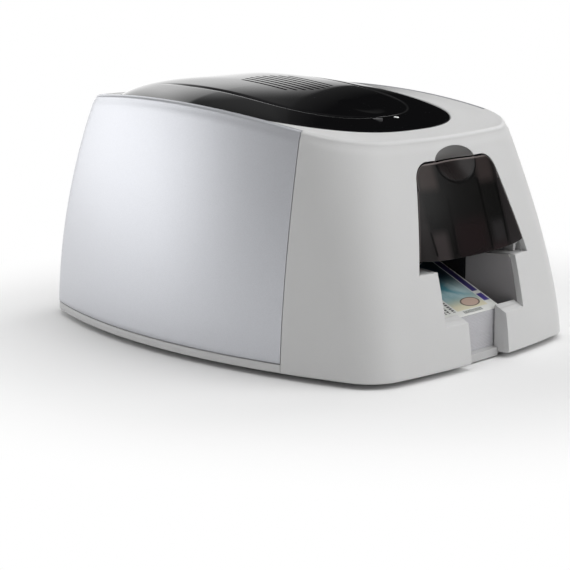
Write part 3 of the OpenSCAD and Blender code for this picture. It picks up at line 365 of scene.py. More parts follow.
def sheet_solid(name, face, back, uv=None):
    """A sheet from two grids of points: its face, its back turned round, and a band round their edges."""
    up, across = face.shape[:2]
    n = up * across
    index = np.arange(n).reshape(up, across)
    rim = np.concatenate([index[:, 0], index[-1, 1:], index[-2::-1, -1], index[0, -2:0:-1]])
    after = np.roll(rim, -1)
    faces = grid_faces(up, across) + [quad[::-1] for quad in grid_faces(up, across, start=n)]
    faces += np.stack([rim, after, after + n, rim + n], -1).tolist()
    return closed_piece(name, np.stack([face, back]), faces, uv)


def cut(piece, cutters, keep=False):
    """Takes the cutters out of a piece, or keeps only what lies inside them."""
    for tool in cutters:
        mod = piece.modifiers.new("Cut", "BOOLEAN")
        mod.operation, mod.object, mod.solver = "INTERSECT" if keep else "DIFFERENCE", tool, "EXACT"
    settle(piece)
    for tool in cutters:
        bpy.data.objects.remove(tool)
    shade_smooth(piece, 0.6)


def join(name, pieces):
    """One object from several."""
    points, faces, base = [], [], 0
    for p in pieces:
        co = np.empty(len(p.data.vertices) * 3)
        p.data.vertices.foreach_get("co", co)
        points.append(co.reshape(-1, 3) / MM)
        faces += [[v + base for v in f.vertices] for f in p.data.polygons]
        base += len(p.data.vertices)
    whole = make_piece(name, np.concatenate(points), faces)
    whole.data.set_sharp_from_angle(angle=0.6)
    for p in pieces:
        bpy.data.objects.remove(p)
    whole.name = name
    return whole


def rounded(points, radii, n=6):
    """A closed outline with each corner rounded by its radius: arcs drawn as quadratic curves."""
    p = np.asarray(points, float)
    before, after = np.roll(p, 1, 0), np.roll(p, -1, 0)
    r = np.broadcast_to(np.asarray(radii, float), len(p))[:, None]
    a = p + (before - p) / np.linalg.norm(before - p, axis=1, keepdims=True) * r
    b = p + (after - p) / np.linalg.norm(after - p, axis=1, keepdims=True) * r
    t = np.linspace(0, 1, n)[None, :, None]
    curve = (1 - t) ** 2 * a[:, None] + 2 * t * (1 - t) * p[:, None] + t**2 * b[:, None]
    return curve.reshape(-1, 2)


def rectangle(x0, x1, y0, y1):
    """Outline of a rectangle between two places on each axis."""
    return [[x0, y0], [x1, y0], [x1, y1], [x0, y1]]


def oval(cx, cy, rx, ry=None, n=32):
    """Outline of a circle, or of an ellipse where the second radius is given."""
    t = np.linspace(0, 2 * np.pi, n, endpoint=False)
    return np.stack([cx + rx * np.cos(t), cy + (ry or rx) * np.sin(t)], -1)


def mirrored(plan):
    """A right half of a plan, its columns from the middle outwards, made whole from left to right."""
    left = plan[:, :0:-1] * np.array([-1.0, 1.0])
    return np.concatenate([left, plan], 1)


def both_sides(inner, outer):
    """The two spans of x between two distances from the middle, left and right, with their side."""
    return [(side, *sorted((side * inner, side * outer))) for side in (-1, 1)]


def finish_piece(piece, body, slot, finish_name, *nodes):
    """Puts a made piece on its body, in place of its solids, with its finish."""
    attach(piece, body)
    if nodes:
        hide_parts(*nodes)
    piece.data.materials.clear()
    piece.data.materials.append(finish(finish_name))


# ---- Housing skins -------------------------------------------------------------------


class Door:
    """Door and its opening: half widths at foot and head, heights, corner radius, the gap round it, its wall,
    its hinge ears and its ribs as place and height."""

    foot, head, top, corner, gap = 52.4, 39.9, 118.8, 12.5, 1.15
    ledge, low, taper, middle, wall = 58.5, 63.7, 65.5, 82.0, 2.2
    ear, ear_outer, pin_r, ribs = 46.0, 47.8, 1.62, ((-26, 40), (26, 40), (-9, 26), (9, 26))


class Scoop:
    """Finger scoop: half width, heights above and below its centre, the centre's height and its depth."""

    half, high, low, z, depth = 19.3, 8.2, 12.8, 117.5, 2.6


class Tray:
    """Card recess: half widths of recess and slot, depth of the lips, and the place of the cards: their front
    edge, the lowest card's height, the pile's height, the room over it and the slope."""

    half, slot, lip, front = 39.0, 19.0, 11.1, -144.1
    low, pile, over, slope = 6.2, 22.6, 2.3, np.tan(np.radians(26.4))


class Rear:
    """Places on the rear panel: height of the sockets and the switch, each with its place and half sizes, and
    the fan with its slots."""

    low, sockets = 24.0, ((12.0, 6.8, 5.8), (-12.0, 6.6, 6.2), (34.0, 5.2, 7.6))
    fan_x, fan_z, fan_half, slot_half, slot_high, slot_pitch = -22.0, 62.0, 20.0, 15.0, 1.4, 5.2


ROLL = 8  # rows in the roll between a wall and the rim


def wall_rows(inset, bottom, rows):
    """Outer rows of a wall as share, inset and drop: a rounded foot, the wall and the roll into the rim."""
    up, roll, r = np.linspace(0.02, 0.965, rows), np.linspace(0, np.pi / 2, ROLL), 2.4
    mid = 0.28 * bottom
    s = np.concatenate([[0, 0, 0], up, np.ones(ROLL)])
    e = np.concatenate([[bottom, mid, 0], 0 * up, r * (1 - np.cos(roll))])
    d = np.concatenate([[0, mid, bottom], 0 * up, r * (np.sin(roll) - 1)])
    return s, e + inset, d


def surround_rows(f, outer):
    """The top face from the rim to the cover: rows slope down to a ring round the cover, round over its edge,
    fall as a collar and come back below. At the rear corners the ring swells by a bell curve, so that the
    opening cover swings past."""
    swell, corner, wide, fade = 3.8, 62, 9, 14
    first_drop, fall, ease = 0.4, 2.7, 1.1
    a = np.arctan2(outer[:, 1] - f.cover_y, outer[:, 0])
    edge, way = f.reach(a)[:, None], np.stack([np.cos(a), np.sin(a)], -1)
    x, y = np.abs(way[:, :1] * edge), way[:, 1:] * edge + f.cover_y
    edge = edge + swell * np.exp(-(((x - corner) / wide) ** 2)) * np.clip((y - corner) / fade, 0, 1)

    def ring(gap):
        return way * edge * (1 + gap / f.mean_reach) + np.array([0, f.cover_y])

    def row(p, drop):
        return np.concatenate([p, (f.rim(p[:, 1]) - drop)[:, None]], -1)

    def between(w, drop):
        return row(outer * (1 - w) + ring(1.5) * w, drop)

    ways = np.linspace(0, 1, 9)[:-1]
    rows = [between(w, first_drop + fall * np.sin(w * np.pi / 2) ** ease) for w in ways]
    collar = (1.5, 3.1), (1.15, 3.2), (0.95, 3.5), (0.9, 3.9), (0.9, 9.8), (2.7, 9.8), (3.0, 5.6)
    rows += [row(ring(gap), drop) for gap, drop in collar]
    return np.stack(rows + [between(0.25, 4.4), between(0.0, 3.0)])


def casing_skin(f):
    """Front wall, ridge and surround as one moulding: the wall's closed section runs along the front between
    the seams, and its top part runs on round the cover as a ring of its own."""
    s, e, d = wall_rows(0.0, 0.8, 44)
    outer = f.lift(mirrored(f.front_section(s, e)), s, d)
    rim = mirrored(f.front_section([1.0], [f.rim_inset]))[0]
    top = surround_rows(f, rim)
    inner_s = s[::-1][ROLL:]
    inner = f.lift(mirrored(f.front_section(inner_s, 4.0 + 0 * inner_s)), inner_s, 0 * inner_s)
    rows = np.concatenate([outer, top, inner])
    n, cols = rows.shape[:2]
    faces = grid_faces(n, cols, wrap_rows=True)
    ends = [*range(len(s)), *range(len(s) + len(top) - 1, n)]
    faces += [[r * cols + col for r in ends] for col in (0, cols - 1)]
    side, rear = f.side_section([1.0], [f.rim_inset])[0], f.rear_section([1.0], [f.rim_inset])[0]
    back = [rim[-1:], side, rear, (rear * [-1, 1])[-2::-1], (side * [-1, 1])[::-1], rim[:1]]
    ring = surround_rows(f, np.concatenate(back))
    faces += grid_faces(*ring.shape[:2], wrap_rows=True, start=n * cols)
    return closed_piece("casing", np.concatenate([rows.reshape(-1, 3), ring.reshape(-1, 3)]), faces)


def front_solid(f, inset):
    """Everything in front of the seam inside the wall's outer face, as a closed solid."""
    s, e, d = wall_rows(inset, 0.3, 24)
    rows = f.lift(mirrored(f.front_section(s, e)), s, d)
    n, cols = rows.shape[:2]
    faces = grid_faces(n, cols) + [list(range(cols)), [(n - 1) * cols + c for c in range(cols)]]
    faces += [[r * cols, (r + 1) * cols, (r + 2) * cols - 1, (r + 1) * cols - 1] for r in range(n - 1)]
    return closed_piece("front_solid", rows, faces)


def opening_outline():
    """Door opening seen from the front: two corner circles over a flared foot."""
    r, cx, cz = Door.corner, Door.head - Door.corner, Door.top - Door.corner
    flare = (Door.foot - Door.head) / 45
    foot = Door.foot + flare * (Door.taper - Door.ledge)
    lean = np.arctan2(foot - Door.head, cz - Door.ledge)
    t = np.linspace(lean * 0.6, np.pi / 2, 14)
    right = np.stack([cx + r * np.cos(t), cz + r * np.sin(t)], -1)
    right = np.concatenate([[[foot, Door.ledge]], right])
    return np.concatenate([right, (right * [-1, 1])[::-1]])


class BuildCasing(bpy.types.Operator):
    """Makes the front casing with its surround, openings, lips and ledges"""

    bl_idname = "printer.casing"
    bl_label = "Casing"

    def execute(self, context):
        f = Form(sizes())
        shell = casing_skin(f)
        ahead, behind, near = f.front_y - 20, -90.0, f.front_y - 2
        back, top = f.front_y + Tray.lip, Tray.low + Tray.pile + Tray.over
        recess = [[ahead, top - (back - ahead) * Tray.slope], [back, top], [behind, top]]
        recess += [[behind, Door.ledge + 1], [ahead, Door.ledge + 1]]
        scoop = oval(0, Scoop.z, Scoop.half + 0.15, Scoop.high + 0.15, 64)
        tools = [
            prism("door_hole", opening_outline(), ahead, behind),
            prism("recess_hole", recess, -Tray.half, Tray.half, axis=0),
            prism("scoop_hole", scoop, ahead, behind),
            prism("slot_hole", rectangle(-Tray.slot, Tray.slot, -1, Door.ledge), ahead, behind),
        ]
        cut(shell, tools)
        lip_top = top - 0.02
        lip_side = [[near, 3.2], [back, 3.2], [back, lip_top], [near, lip_top - (back - near) * Tray.slope]]
        cheek_plan = np.array([[42, -2], [39.03, -2], [39.03, 11], [28.1, 39], [30.2, 39], [42, 13]])
        ledge_plan = np.array([[39.08, 0], [75, 0], [75, 30], [31.9, 30], [39.08, 11.2]])
        jamb_plan = np.array(rectangle(53.2, 56.0, 0, 29.9))
        lining, cheeks = [], []
        for side, x0, x1 in both_sides(Tray.slot + 0.03, Tray.half + 3):
            lip = prism("lip", lip_side, x0, x1, axis=0)
            parts = [lip]
            for name, plan, low, high in (
                ("cheek", cheek_plan, 5.7, Door.ledge),
                ("ledge", ledge_plan, Door.ledge - 2, Door.ledge - 0.02),
                ("jamb", jamb_plan, Door.ledge + 0.02, Door.ledge + 9),
            ):
                parts.append(prism(name, (plan + [0, f.front_y]) * [side, 1], low, high, axis=2))
            for part in parts:
                cut(part, [front_solid(f, 3.9)], keep=True)
            lining += [parts[0], parts[2], parts[3]]
            cheeks.append(parts[1])
        lining, cheeks = join("recess_lining", lining), join("recess_cheeks", cheeks)
        finish_piece(shell, "housing", "grey", "casing_plastic", "front_casing")
        finish_piece(lining, "housing", "grey", "casing_plastic", "front_casing")
        # The cheeks take a darker copy of the casing's grey: painted shade inside the recess
        finish_piece(cheeks, "housing", "grey", "recess_plastic_painted_shade", "front_casing")
        return {"FINISHED"}


def wall_loop(f, section):
    """A panel's closed section along part of the plan: rounded foot, face, roll and inner face. The foot is
    level: each row's height is corrected by a share that fades out a tenth of the way up."""
    s, e, d = wall_rows(0.0, 0.6, 40)
    s0 = (f.panel_foot - f.foot) / (f.rim_r - f.foot)
    s = np.where(s < 0.999, s0 + (1 - s0) * s / 0.999, s)
    s[:3] = s0
    inner_s = s[::-1][2:]
    inner_d = np.where(inner_s > 0.999, -1.0, 0.0)
    keep = np.concatenate([[True], np.diff(inner_s) != 0])
    inner_s, inner_d = inner_s[keep], inner_d[keep]
    outer = f.lift(section(s, e), s, d)
    inner = f.lift(section(inner_s, f.wall + 0 * inner_s), inner_s, inner_d)
    bottom = outer[0, :, 2].copy()
    for rows, shares in ((outer, s), (inner, inner_s)):
        fade = np.clip(1 - (shares - s0) / 0.1, 0, 1)[:, None]
        rows[..., 2] += (f.panel_foot - bottom)[None, :] * fade
    return np.concatenate([outer, inner])


class BuildSidePanels(bpy.types.Operator):
    """Makes the two bowed silver side panels"""

    bl_idname = "printer.side_panels"
    bl_label = "Side panels"

    def execute(self, context):
        f = Form(sizes())
        rows = wall_loop(f, f.side_section)
        for side, name in ((1, "right"), (-1, "left")):
            piece = section_solid("%s_side_skin" % name, rows * [side, 1, 1])
            finish_piece(piece, "housing", "silver", "silver_lacquer", "%s_side_panel" % name)
        return {"FINISHED"}


class BuildRear(bpy.types.Operator):
    """Makes the bowed rear panel with its fan slots, duct and socket openings"""

    bl_idname = "printer.rear_panel"
    bl_label = "Rear panel"

    def execute(self, context):
        f, r = Form(sizes()), Rear
        shell = section_solid("rear_skin", wall_loop(f, lambda s, e: mirrored(f.rear_section(s, e)[:, ::-1])))
        holes = []
        for i in range(-3, 4):
            z = r.fan_z + i * r.slot_pitch
            slot = rectangle(r.fan_x - r.slot_half, r.fan_x + r.slot_half, z - r.slot_high, z + r.slot_high)
            holes.append(rounded(slot, 1.3))
        for x, w, h in r.sockets:
            holes.append(rounded(rectangle(x - w, x + w, r.low - h, r.low + h), 0.5, 3))
        cut(shell, [prism("hole", h, f.rear_y - 45, f.rear_y + 20) for h in holes])
        finish_piece(shell, "housing", "grey", "casing_plastic", "rear_panel")
        fan_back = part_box("fan_frame")[1][1] / MM + 0.05
        span, ends, plates = np.linspace(-r.fan_half, r.fan_half, 9), [fan_back, fan_back], []
        for i in (-1, 1):
            z, xs = r.fan_z + i * (r.fan_half - 1), r.fan_x + span
            outline = np.stack([[xs[0], xs[-1], *xs[::-1]], [*ends, *f.rear_middle(xs, z)[::-1]]], -1)
            plates.append(prism("duct", outline, z - 1, z + 1, axis=2))
            x, zs = r.fan_x + i * (r.fan_half - 1), r.fan_z + span
            outline = np.stack([[*ends, *f.rear_middle(x, zs)], [zs[-1], zs[0], *zs]], -1)
            plates.append(prism("duct", outline, x - 1, x + 1, axis=0))
        finish_piece(join("fan_duct", plates), "housing", "grey", "casing_plastic", "rear_panel")
        return {"FINISHED"}


class BuildBase(bpy.types.Operator):
    """Makes the base tray: a floor with screw and foot holes and two slotted posts, and the strip below the
    side panels
    """

    bl_idname = "printer.base"
    bl_label = "Base"

    # heights of the floor and the strip, then the holes for the screws and the feet
    low, high, thick, counterbore = 3.2, 8.2, 2.4, 4.4
    screw_r, head_r, screws = 1.7, 3.2, ((-54, -85), (54, -85), (-54, 70), (54, 70))
    foot_r, feet = 6.05, ((-72, -112), (72, -112), (-54, 112), (54, 112))

    def strip_plan(self, f, e):
        """Plan of the strip from the right seam round the rear to the left seam, drawn in by e."""
        right = np.concatenate([f.side_section([0.0], [e])[0], f.rear_section([0.0], [e])[0]])
        return np.concatenate([right, (right * [-1, 1])[-2::-1]])

    def execute(self, context):
        f, low, high = Form(sizes()), self.low, self.high
        ring = [(1.0, low), (0.5, low + 0.15), (0.3, low + 0.6), (0.3, high - 0.6), (0.45, high - 0.15)]
        ring += [(0.9, high), (4.6, high), (4.6, low)]
        rows = []
        for e, z in ring:
            plan = self.strip_plan(f, e)
            rows.append(np.concatenate([plan, np.full((len(plan), 1), z)], -1))
        strip = section_solid("base_strip", np.stack(rows))
        front = mirrored(f.front_section([0.0], [f.rim_inset]))[0]
        outline = np.concatenate([front, self.strip_plan(f, f.rim_inset)])
        floor = prism("base_floor", outline, low, low + self.thick, axis=2)
        holes = [prism("hole", rectangle(-42.4, 42.4, f.front_y - 10, f.front_y + 18), 0, 13, axis=2)]
        for x, y in self.screws:
            holes.append(prism("hole", oval(x, y, self.screw_r, n=24), 0, 30, axis=2))
            holes.append(prism("hole", oval(x, y, self.head_r, n=24), 0, self.counterbore, axis=2))
        for x, y in self.feet:
            holes.append(prism("hole", oval(x, y, self.foot_r), 0, self.counterbore, axis=2))
        cut(floor, holes)
        posts, y = [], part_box("main_board")[0][1] / MM
        for _, x0, x1 in both_sides(37, 43):
            post = prism("post", rectangle(x0, x1, y - 3, y + 4.5), low + 2, low + 14.4, axis=2)
            cut(post, [prism("slit", rectangle(-44, 44, y - 0.1, y + 1.7), 5.6, 30, axis=2)])
            posts.append(post)
        finish_piece(strip, "housing", "grey", "casing_plastic", "base_tray")
        finish_piece(join("base_floor", [floor] + posts), "housing", "grey", "casing_plastic", "base_tray")
        return {"FINISHED"}


# ---- Cover, door and cards -----------------------------------------------------------


class Cover:
    """Places on the cover: the thumb dish from the cover's centre, the rest from the printer's middle."""

    dish, dish_r, dish_depth = (4.0, -64.0), 15.0, 1.1
    key, key_r, lamp, lamp_r = (-9.0, -77.2), 3.3, (8.5, -77.5), 1.9
    vents, vent_half, vent_pitch, vent_long, vent_x, vent_y = 8, 1.3, 6.3, 48.0, 6.0, -17.7
    arm, arm_inner, arm_outer, pin_r = 41.0, 39, 43, 2.02


def crease(x, y):
    """Depth of the moulded crease: a groove along a U of powers, open to the rear, where it fades away."""
    q, width = 2.7, 1.3
    r = (np.abs(x) / 53.0) ** q + (np.maximum(-10 - y, 0) / 63.0) ** q
    fade = np.clip((62 - y) / 30, 0, 1)
    depth = 0.45 + 0.3 * np.clip((y + 60) / 25, 0, 1)
    return depth * fade * np.exp(-(((np.power(r, 1 / q) - 1) * 50 / width) ** 2))


def cover_skin(f, around=288, rings=130):
    """Dome drawn in rings round the cover's centre: each ring is the outline drawn in by its share, and its
    height falls from the crown with a power of the share; a skirt and the inner face close it."""
    a = np.linspace(0, 2 * np.pi, around, endpoint=False)
    k = 1 - (1 - np.linspace(0, 1, rings)) ** 1.6
    k[0] = 0.004
    grow, inner = 1 + 0.45 / f.mean_reach, 1 - f.cover_wall / f.cover_half

    def ring(plan, height):
        return np.concatenate([plan, height[:, None]], -1)

    rows = []
    for share in k:
        p = f.cover_ring(a, share * grow)
        far = np.hypot(p[:, 0] - Cover.dish[0], p[:, 1] - (f.cover_y + Cover.dish[1])) / Cover.dish_r
        hollow = Cover.dish_depth * (1 - np.clip(far, 0, 1) ** 2) ** 1.6
        rows.append(ring(p, f.cover_height(p[:, 1], share) - hollow - crease(p[:, 0], p[:, 1])))
    rows += [rows[-1] - [0, 0, drop] for drop in (0.4, 1.5, f.cover_skirt)]
    for drop, share in ((f.cover_skirt, 1.0), (f.cover_wall + 0.6, 0.999)):
        p = f.cover_ring(a, share * inner * grow)
        rows.append(ring(p, f.cover_height(p[:, 1], 1.0) - drop))
    for share in k[::-1][1::3]:
        p = f.cover_ring(a, share * inner * grow)
        rows.append(ring(p, f.cover_height(p[:, 1], share) - f.cover_wall))
    n, m = len(rows), around
    faces = grid_faces(n, m, wrap_cols=True) + [list(range(m)), [(n - 1) * m + c for c in range(m)]]
    return closed_piece("cover_skin", np.stack(rows), faces)


class BuildCover(bpy.types.Operator):
    """Makes the domed top cover with its vents, thumb dish, key and lamp holes and hinge arms"""

    bl_idname = "printer.cover"
    bl_label = "Top cover"

    def execute(self, context):
        f, c = Form(sizes()), Cover
        skin, tools = cover_skin(f), []
        for i in range(c.vents):
            x = (i - (c.vents - 1) / 2) * c.vent_pitch
            y = c.vent_y + x * x / 90
            x0, x1 = c.vent_x + x - c.vent_half, c.vent_x + x + c.vent_half
            outline = rounded(rectangle(x0, x1, y, y + c.vent_long - x * x / 45), c.vent_half - 0.01, 7)
            tools.append(prism("vent", outline, 135, 175, axis=2))
        tools.append(prism("key_hole", oval(*c.key, c.key_r, n=40), 100, 180, axis=2))
        tools.append(prism("lamp_hole", oval(*c.lamp, c.lamp_r), 100, 180, axis=2))
        cut(skin, tools)
        skin.data.set_sharp_from_angle(angle=0.9)
        finish_piece(skin, "cover", "smoke", "cover_gloss", "top_cover")
        y = f.cover_y + f.cover_rear - 10.6
        z = f.rim(y) - f.cover_drop - 2.7
        outline = [(-4, 0), (-2.8, -2.8), (0, -3.8), (2.8, -2.6), (3.8, 0)]
        outline += [(back, f.cover_at(c.arm, y + back) - 0.9 - z) for back in (3.8, -3, -10, -16, -22)]
        outline = np.array(outline + [(-22, 6)]) + [y, z]
        arms = []
        for _, x0, x1 in both_sides(c.arm_inner, c.arm_outer):
            arm = prism("arm", outline, x0, x1, axis=0)
            cut(arm, [prism("pin_hole", oval(y, z, c.pin_r), -60, 60, axis=0)])
            arms.append(arm)
        finish_piece(join("cover_arms", arms), "cover", "smoke", "cover_gloss", "top_cover")
        return {"FINISHED"}


def scoop_depth(f, x, z):
    """Depth of the finger scoop behind the front face: an oval dish, longer below its centre than above,
    which falls as a parabola to a round floor."""
    r = (x / Scoop.half) ** 2 + ((z - Scoop.z) / np.where(z > Scoop.z, Scoop.high, Scoop.low)) ** 2
    return f.front_face(x, z) + Scoop.depth * np.clip(1 - r, 0, 1)


def door_skin(f, across=170, up=130):
    """The door's face lies on the front wall; its width at each height is the opening's, rounded at the head,
    its foot rises towards its ends by powers of the width, and the scoop pushes it in. The back lies a
    wall's thickness behind, along the face's normals."""
    u = np.linspace(-1, 1, across)
    u = np.sign(u) * (1 - (1 - np.abs(u)) ** 1.25)
    v = 1 - (1 - np.linspace(0, 1, up)) ** 1.5
    r = Door.corner - Door.gap
    z0 = Door.low + (Door.top - Door.gap - Door.low) * v
    cz, cx = Door.top - Door.corner, Door.head - Door.corner
    way = (z0 - Door.taper) / (cz - Door.taper + 3)
    wide = Door.foot - Door.gap + (Door.head - Door.foot) * way
    arc = cx + np.sqrt(np.maximum(r**2 - np.maximum(z0 - cz, 0) ** 2, 0)) + 0.6
    wide = np.where(z0 > cz - 3, np.minimum(wide, arc), wide)
    x = wide[:, None] * u[None, :]
    z = z0[:, None] + (1 - v)[:, None] * (2.4 * (x / 64) ** 2 + 1.2 * (x / 51) ** 8)
    face = f.front_face(x, z) + 0.1
    y = np.where(z > 95, np.maximum(scoop_depth(f, x, z), face), face)
    front = np.stack([x, y, z], -1)
    normal = np.cross(np.gradient(front, axis=1), np.gradient(front, axis=0))
    normal /= np.linalg.norm(normal, axis=-1, keepdims=True) + 1e-12
    if normal[up // 2, across // 2, 1] < 0:
        normal = -normal
    share = np.abs(np.broadcast_to(u[None, :], (up, across))).ravel()
    uv = np.stack([np.tile(share, 2), np.repeat([0.5, 0.0], up * across)], -1)
    return sheet_solid("door_skin", front, front + normal * Door.wall, uv)


def scoop_insert(f):
    """The scoop's upper half above the door's head: a sheet that follows the dish, as wide as its oval."""
    z = np.linspace(Door.top - 0.35, Scoop.z + Scoop.high + 0.05, 26)[:, None]
    high = Scoop.high + 0.1
    half = (Scoop.half + 0.1) * np.sqrt(np.maximum(1 - ((z - Scoop.z) / high) ** 2, 1e-6))
    x, z = np.broadcast_arrays(half * np.linspace(-1, 1, 60)[None, :], z)
    front = np.stack([x, scoop_depth(f, x, z) + 0.4, z], -1)
    piece = sheet_solid("scoop_insert", front, front + [0, 2.6, 0])
    piece.data.set_sharp_from_angle(angle=0.8)
    return piece


class BuildDoor(bpy.types.Operator):
    """Makes the drop-down hopper door with its scoop, ribs and hinge ears, and the scoop's upper half"""

    bl_idname = "printer.door"
    bl_label = "Hopper door"

    def execute(self, context):
        f = Form(sizes())
        skin = door_skin(f)
        mod = skin.modifiers.new("Rounding", "BEVEL")
        mod.width, mod.segments, mod.limit_method, mod.angle_limit = 0.7 * MM, 3, "ANGLE", 0.9
        settle(skin)
        shade_smooth(skin, 0.8)
        finish_piece(skin, "door", "door_smoke", "door_smoked", "hopper_door")
        low, high = np.array(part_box("door_hinge_pins")) / MM
        pin = (low + high)[1:] / 2
        outline = [[-1.8, 9], [-4.4, 0.4], [-2, -1.8], [0, -2.6], [2, -1.8], [2.6, 0], [2, 9]]
        outline = rounded(np.array(outline) + pin, 0.5, 4)
        fittings = []
        for _, x0, x1 in both_sides(Door.ear, Door.ear_outer):
            ear = prism("ear", outline, x0, x1, axis=0)
            cut(ear, [prism("pin_hole", oval(*pin, Door.pin_r), -60, 60, axis=0)])
            fittings.append(ear)
        for x, tall in Door.ribs:
            z = Door.taper + 2 + np.linspace(0, tall, 12)
            face = f.front_face(np.full(12, float(x)), z)
            sides = np.concatenate([face + 2.25, face[::-1] + 3.2])
            outline = np.stack([sides, np.concatenate([z, z[::-1]])], -1)
            fittings.append(prism("rib", outline, x - 0.7, x + 0.7, axis=0))
        finish_piece(join("door_fittings", fittings), "door", "door_smoke", "door_smoked", "hopper_door")
        finish_piece(scoop_insert(f), "housing", "smoke", "scoop_plastic", "finger_scoop")
        return {"FINISHED"}


class BuildCards(bpy.types.Operator):
    """Makes the pile of printed cards: thin rounded sheets on the sloping tray, each a little out of line"""

    bl_idname = "printer.cards"
    bl_label = "Printed cards"

    half, long, corner, bevel, air = 27.0, 85.6, 3.18, 0.12, 0.025
    scatter, top_shift = np.array([0.22, 0.10]), np.array([0.0, 0.12])

    def outline(self):
        """A card's outline from its lower edge's middle: four corner arcs, closed by straight edges."""
        w, l, r = self.half, self.long, self.corner
        turn, arcs = np.linspace(0, np.pi / 2, 7), []
        for q, (cx, cy) in enumerate(((w - r, l - r), (-w + r, l - r), (-w + r, r), (w - r, r))):
            a = turn + q * np.pi / 2
            arcs.append(np.stack([cx + r * np.cos(a), cy + r * np.sin(a)], -1))
        return np.concatenate(arcs)

    def execute(self, context):
        s, rng = sizes(), np.random.default_rng(7)
        w, l, n, step = self.half, self.long, s.cards, s.card_step / MM
        outline = self.outline()
        m, slope = len(outline), np.arctan(Tray.slope)
        along, up = np.array([0, np.cos(slope), np.sin(slope)]), np.array([0, -np.sin(slope), np.cos(slope)])
        thick = step * np.cos(slope) - self.air
        points, uv, faces = [], [], []
        for i in range(n):
            top = i == n - 1
            shift = self.top_shift if top else rng.uniform(-1, 1, 2) * self.scatter
            start = np.array([shift[0], Tray.front + 0.3 + thick * np.sin(slope), Tray.low + step * i])
            for e, d in ((self.bevel, 0.0), (0.0, 0.1), (0.0, thick - 0.1), (self.bevel, thick)):
                o = outline + (np.array([0, l / 2]) - outline) * np.array([e / w, e * 2 / l])
                points.append(start + o[:, :1] * [1, 0, 0] + (o[:, 1:] + shift[1]) * along + up * d)
                printed = np.stack([(o[:, 0] + w) / (2 * w), o[:, 1] / l], -1)
                uv.append(printed if top and d == thick else np.full((m, 2), 2.0))
            at = i * 4 * m
            faces += grid_faces(4, m, wrap_cols=True, start=at)
            faces += [[at + c for c in range(m)][::-1], [at + 3 * m + c for c in range(m)]]
        pile = make_piece("printed_pile", np.concatenate(points), faces, np.concatenate(uv))
        face_outwards(pile, merge=False)
        shade_smooth(pile, 0.6)
        finish_piece(pile, "housing", "card", "card_print_and_painted_shade", "printed_cards")
        return {"FINISHED"}


# ---- Finishes ------------------------------------------------------------------------


class Graph:
    """Adds nodes to a shader tree. Most methods give back the new node's output."""

    def __init__(self, tree):
        self.tree = tree

    def put(self, socket, value):
        """Sets a socket: an output by a link, a number or a vector directly."""
        if isinstance(value, bpy.types.NodeSocket):
            self.tree.links.new(value, socket)
        else:
            socket.default_value = value

    def add(self, kind, **values):
        """A node: names with a capital set its sockets, the others its settings."""
        n = self.tree.nodes.new("ShaderNode" + kind)
        for key, value in values.items():
            if key[0].isupper():
                self.put(n.inputs[key.replace("_", " ")], value)
            else:
                setattr(n, key, value)
        return n

    def math(self, operation, *values, clamp=False):
        """One step of arithmetic on numbers and outputs."""
        n = self.add("Math", operation=operation, use_clamp=clamp)
        for i, value in enumerate(values):
            self.put(n.inputs[i], value)
        return n.outputs[0]

    def vector_math(self, operation, a, b=None):
        """One step of arithmetic on vectors."""
        n = self.add("VectorMath", operation=operation)
        self.put(n.inputs[0], a)
        if b:
            self.put(n.inputs[1], b)
        return n.outputs["Value" if operation == "DOT_PRODUCT" else "Vector"]

    def ramp(self, value, low, high, a=0.0, b=1.0, smooth=False):
        """A value that goes from a to b as another goes from low to high."""
        n = self.add("MapRange", Value=value, From_Min=low, From_Max=high, To_Min=a, To_Max=b)
        n.interpolation_type = "SMOOTHSTEP" if smooth else "LINEAR"
        return n.outputs[0]

    def noise(self, where, scale, detail, **more):
        """A noise that varies from place to place."""
        return self.add("TexNoise", Vector=where, Scale=scale, Detail=detail, **more).outputs["Fac"]

    def split(self, vector):
        """The three parts of a vector."""
        return self.add("SeparateXYZ", Vector=vector).outputs

    def bump(self, height, strength, distance):
        """A node that tilts the surface by a height."""
        return self.add("Bump", Height=height, Strength=strength, Distance=distance)

    def tinted(self, colour, tone):
        """A colour times a tone that varies over the surface."""
        n = self.add("Mix", data_type="RGBA", blend_type="MULTIPLY")
        for i, value in ((0, 1.0), (6, (*colour, 1)), (7, tone)):
            self.put(n.inputs[i], value)
        return n.outputs[2]

    def over(self, under, colour, mask):
        """A colour laid over another by a mask."""
        n = self.add("Mix", data_type="RGBA")
        for i, value in ((0, mask), (6, under), (7, (*colour, 1) if isinstance(colour, tuple) else colour)):
            self.put(n.inputs[i], value)
        return n.outputs[2]

    def inside(self, x, z, box, soft):
        """1 inside a rectangle with soft sides, 0 outside."""
        sides = []
        for value, low, high in ((x, box[0], box[1]), (z, box[2], box[3])):
            rise = self.ramp(value, low - soft, low + soft, smooth=True)
            fall = self.ramp(value, high - soft, high + soft, 1.0, 0.0, smooth=True)
            sides.append(self.math("MULTIPLY", rise, fall))
        return self.math("MULTIPLY", *sides)


class Finish(Graph):
    """A new material with its shader and the piece's own coordinates."""

    def __init__(self, name):
        self.material = bpy.data.materials.new(name)
        self.material.use_nodes = True
        super().__init__(self.material.node_tree)
        self.shader = self.tree.nodes["Principled BSDF"]
        self.where = self.add("TexCoord").outputs["Object"]

    def effect(self, name, **values):
        """The outputs of a shared effect, placed here with its own values."""
        n = self.add("Group", node_tree=effect_group(name))
        for key, value in {"Vector": self.where, **values}.items():
            self.put(n.inputs[key], value)
        return n.outputs

    def settled(self, **values):
        """The material, with these values on the shader's sockets."""
        for key, value in values.items():
            self.put(self.shader.inputs[key.replace("_", " ")], value)
        return self.material


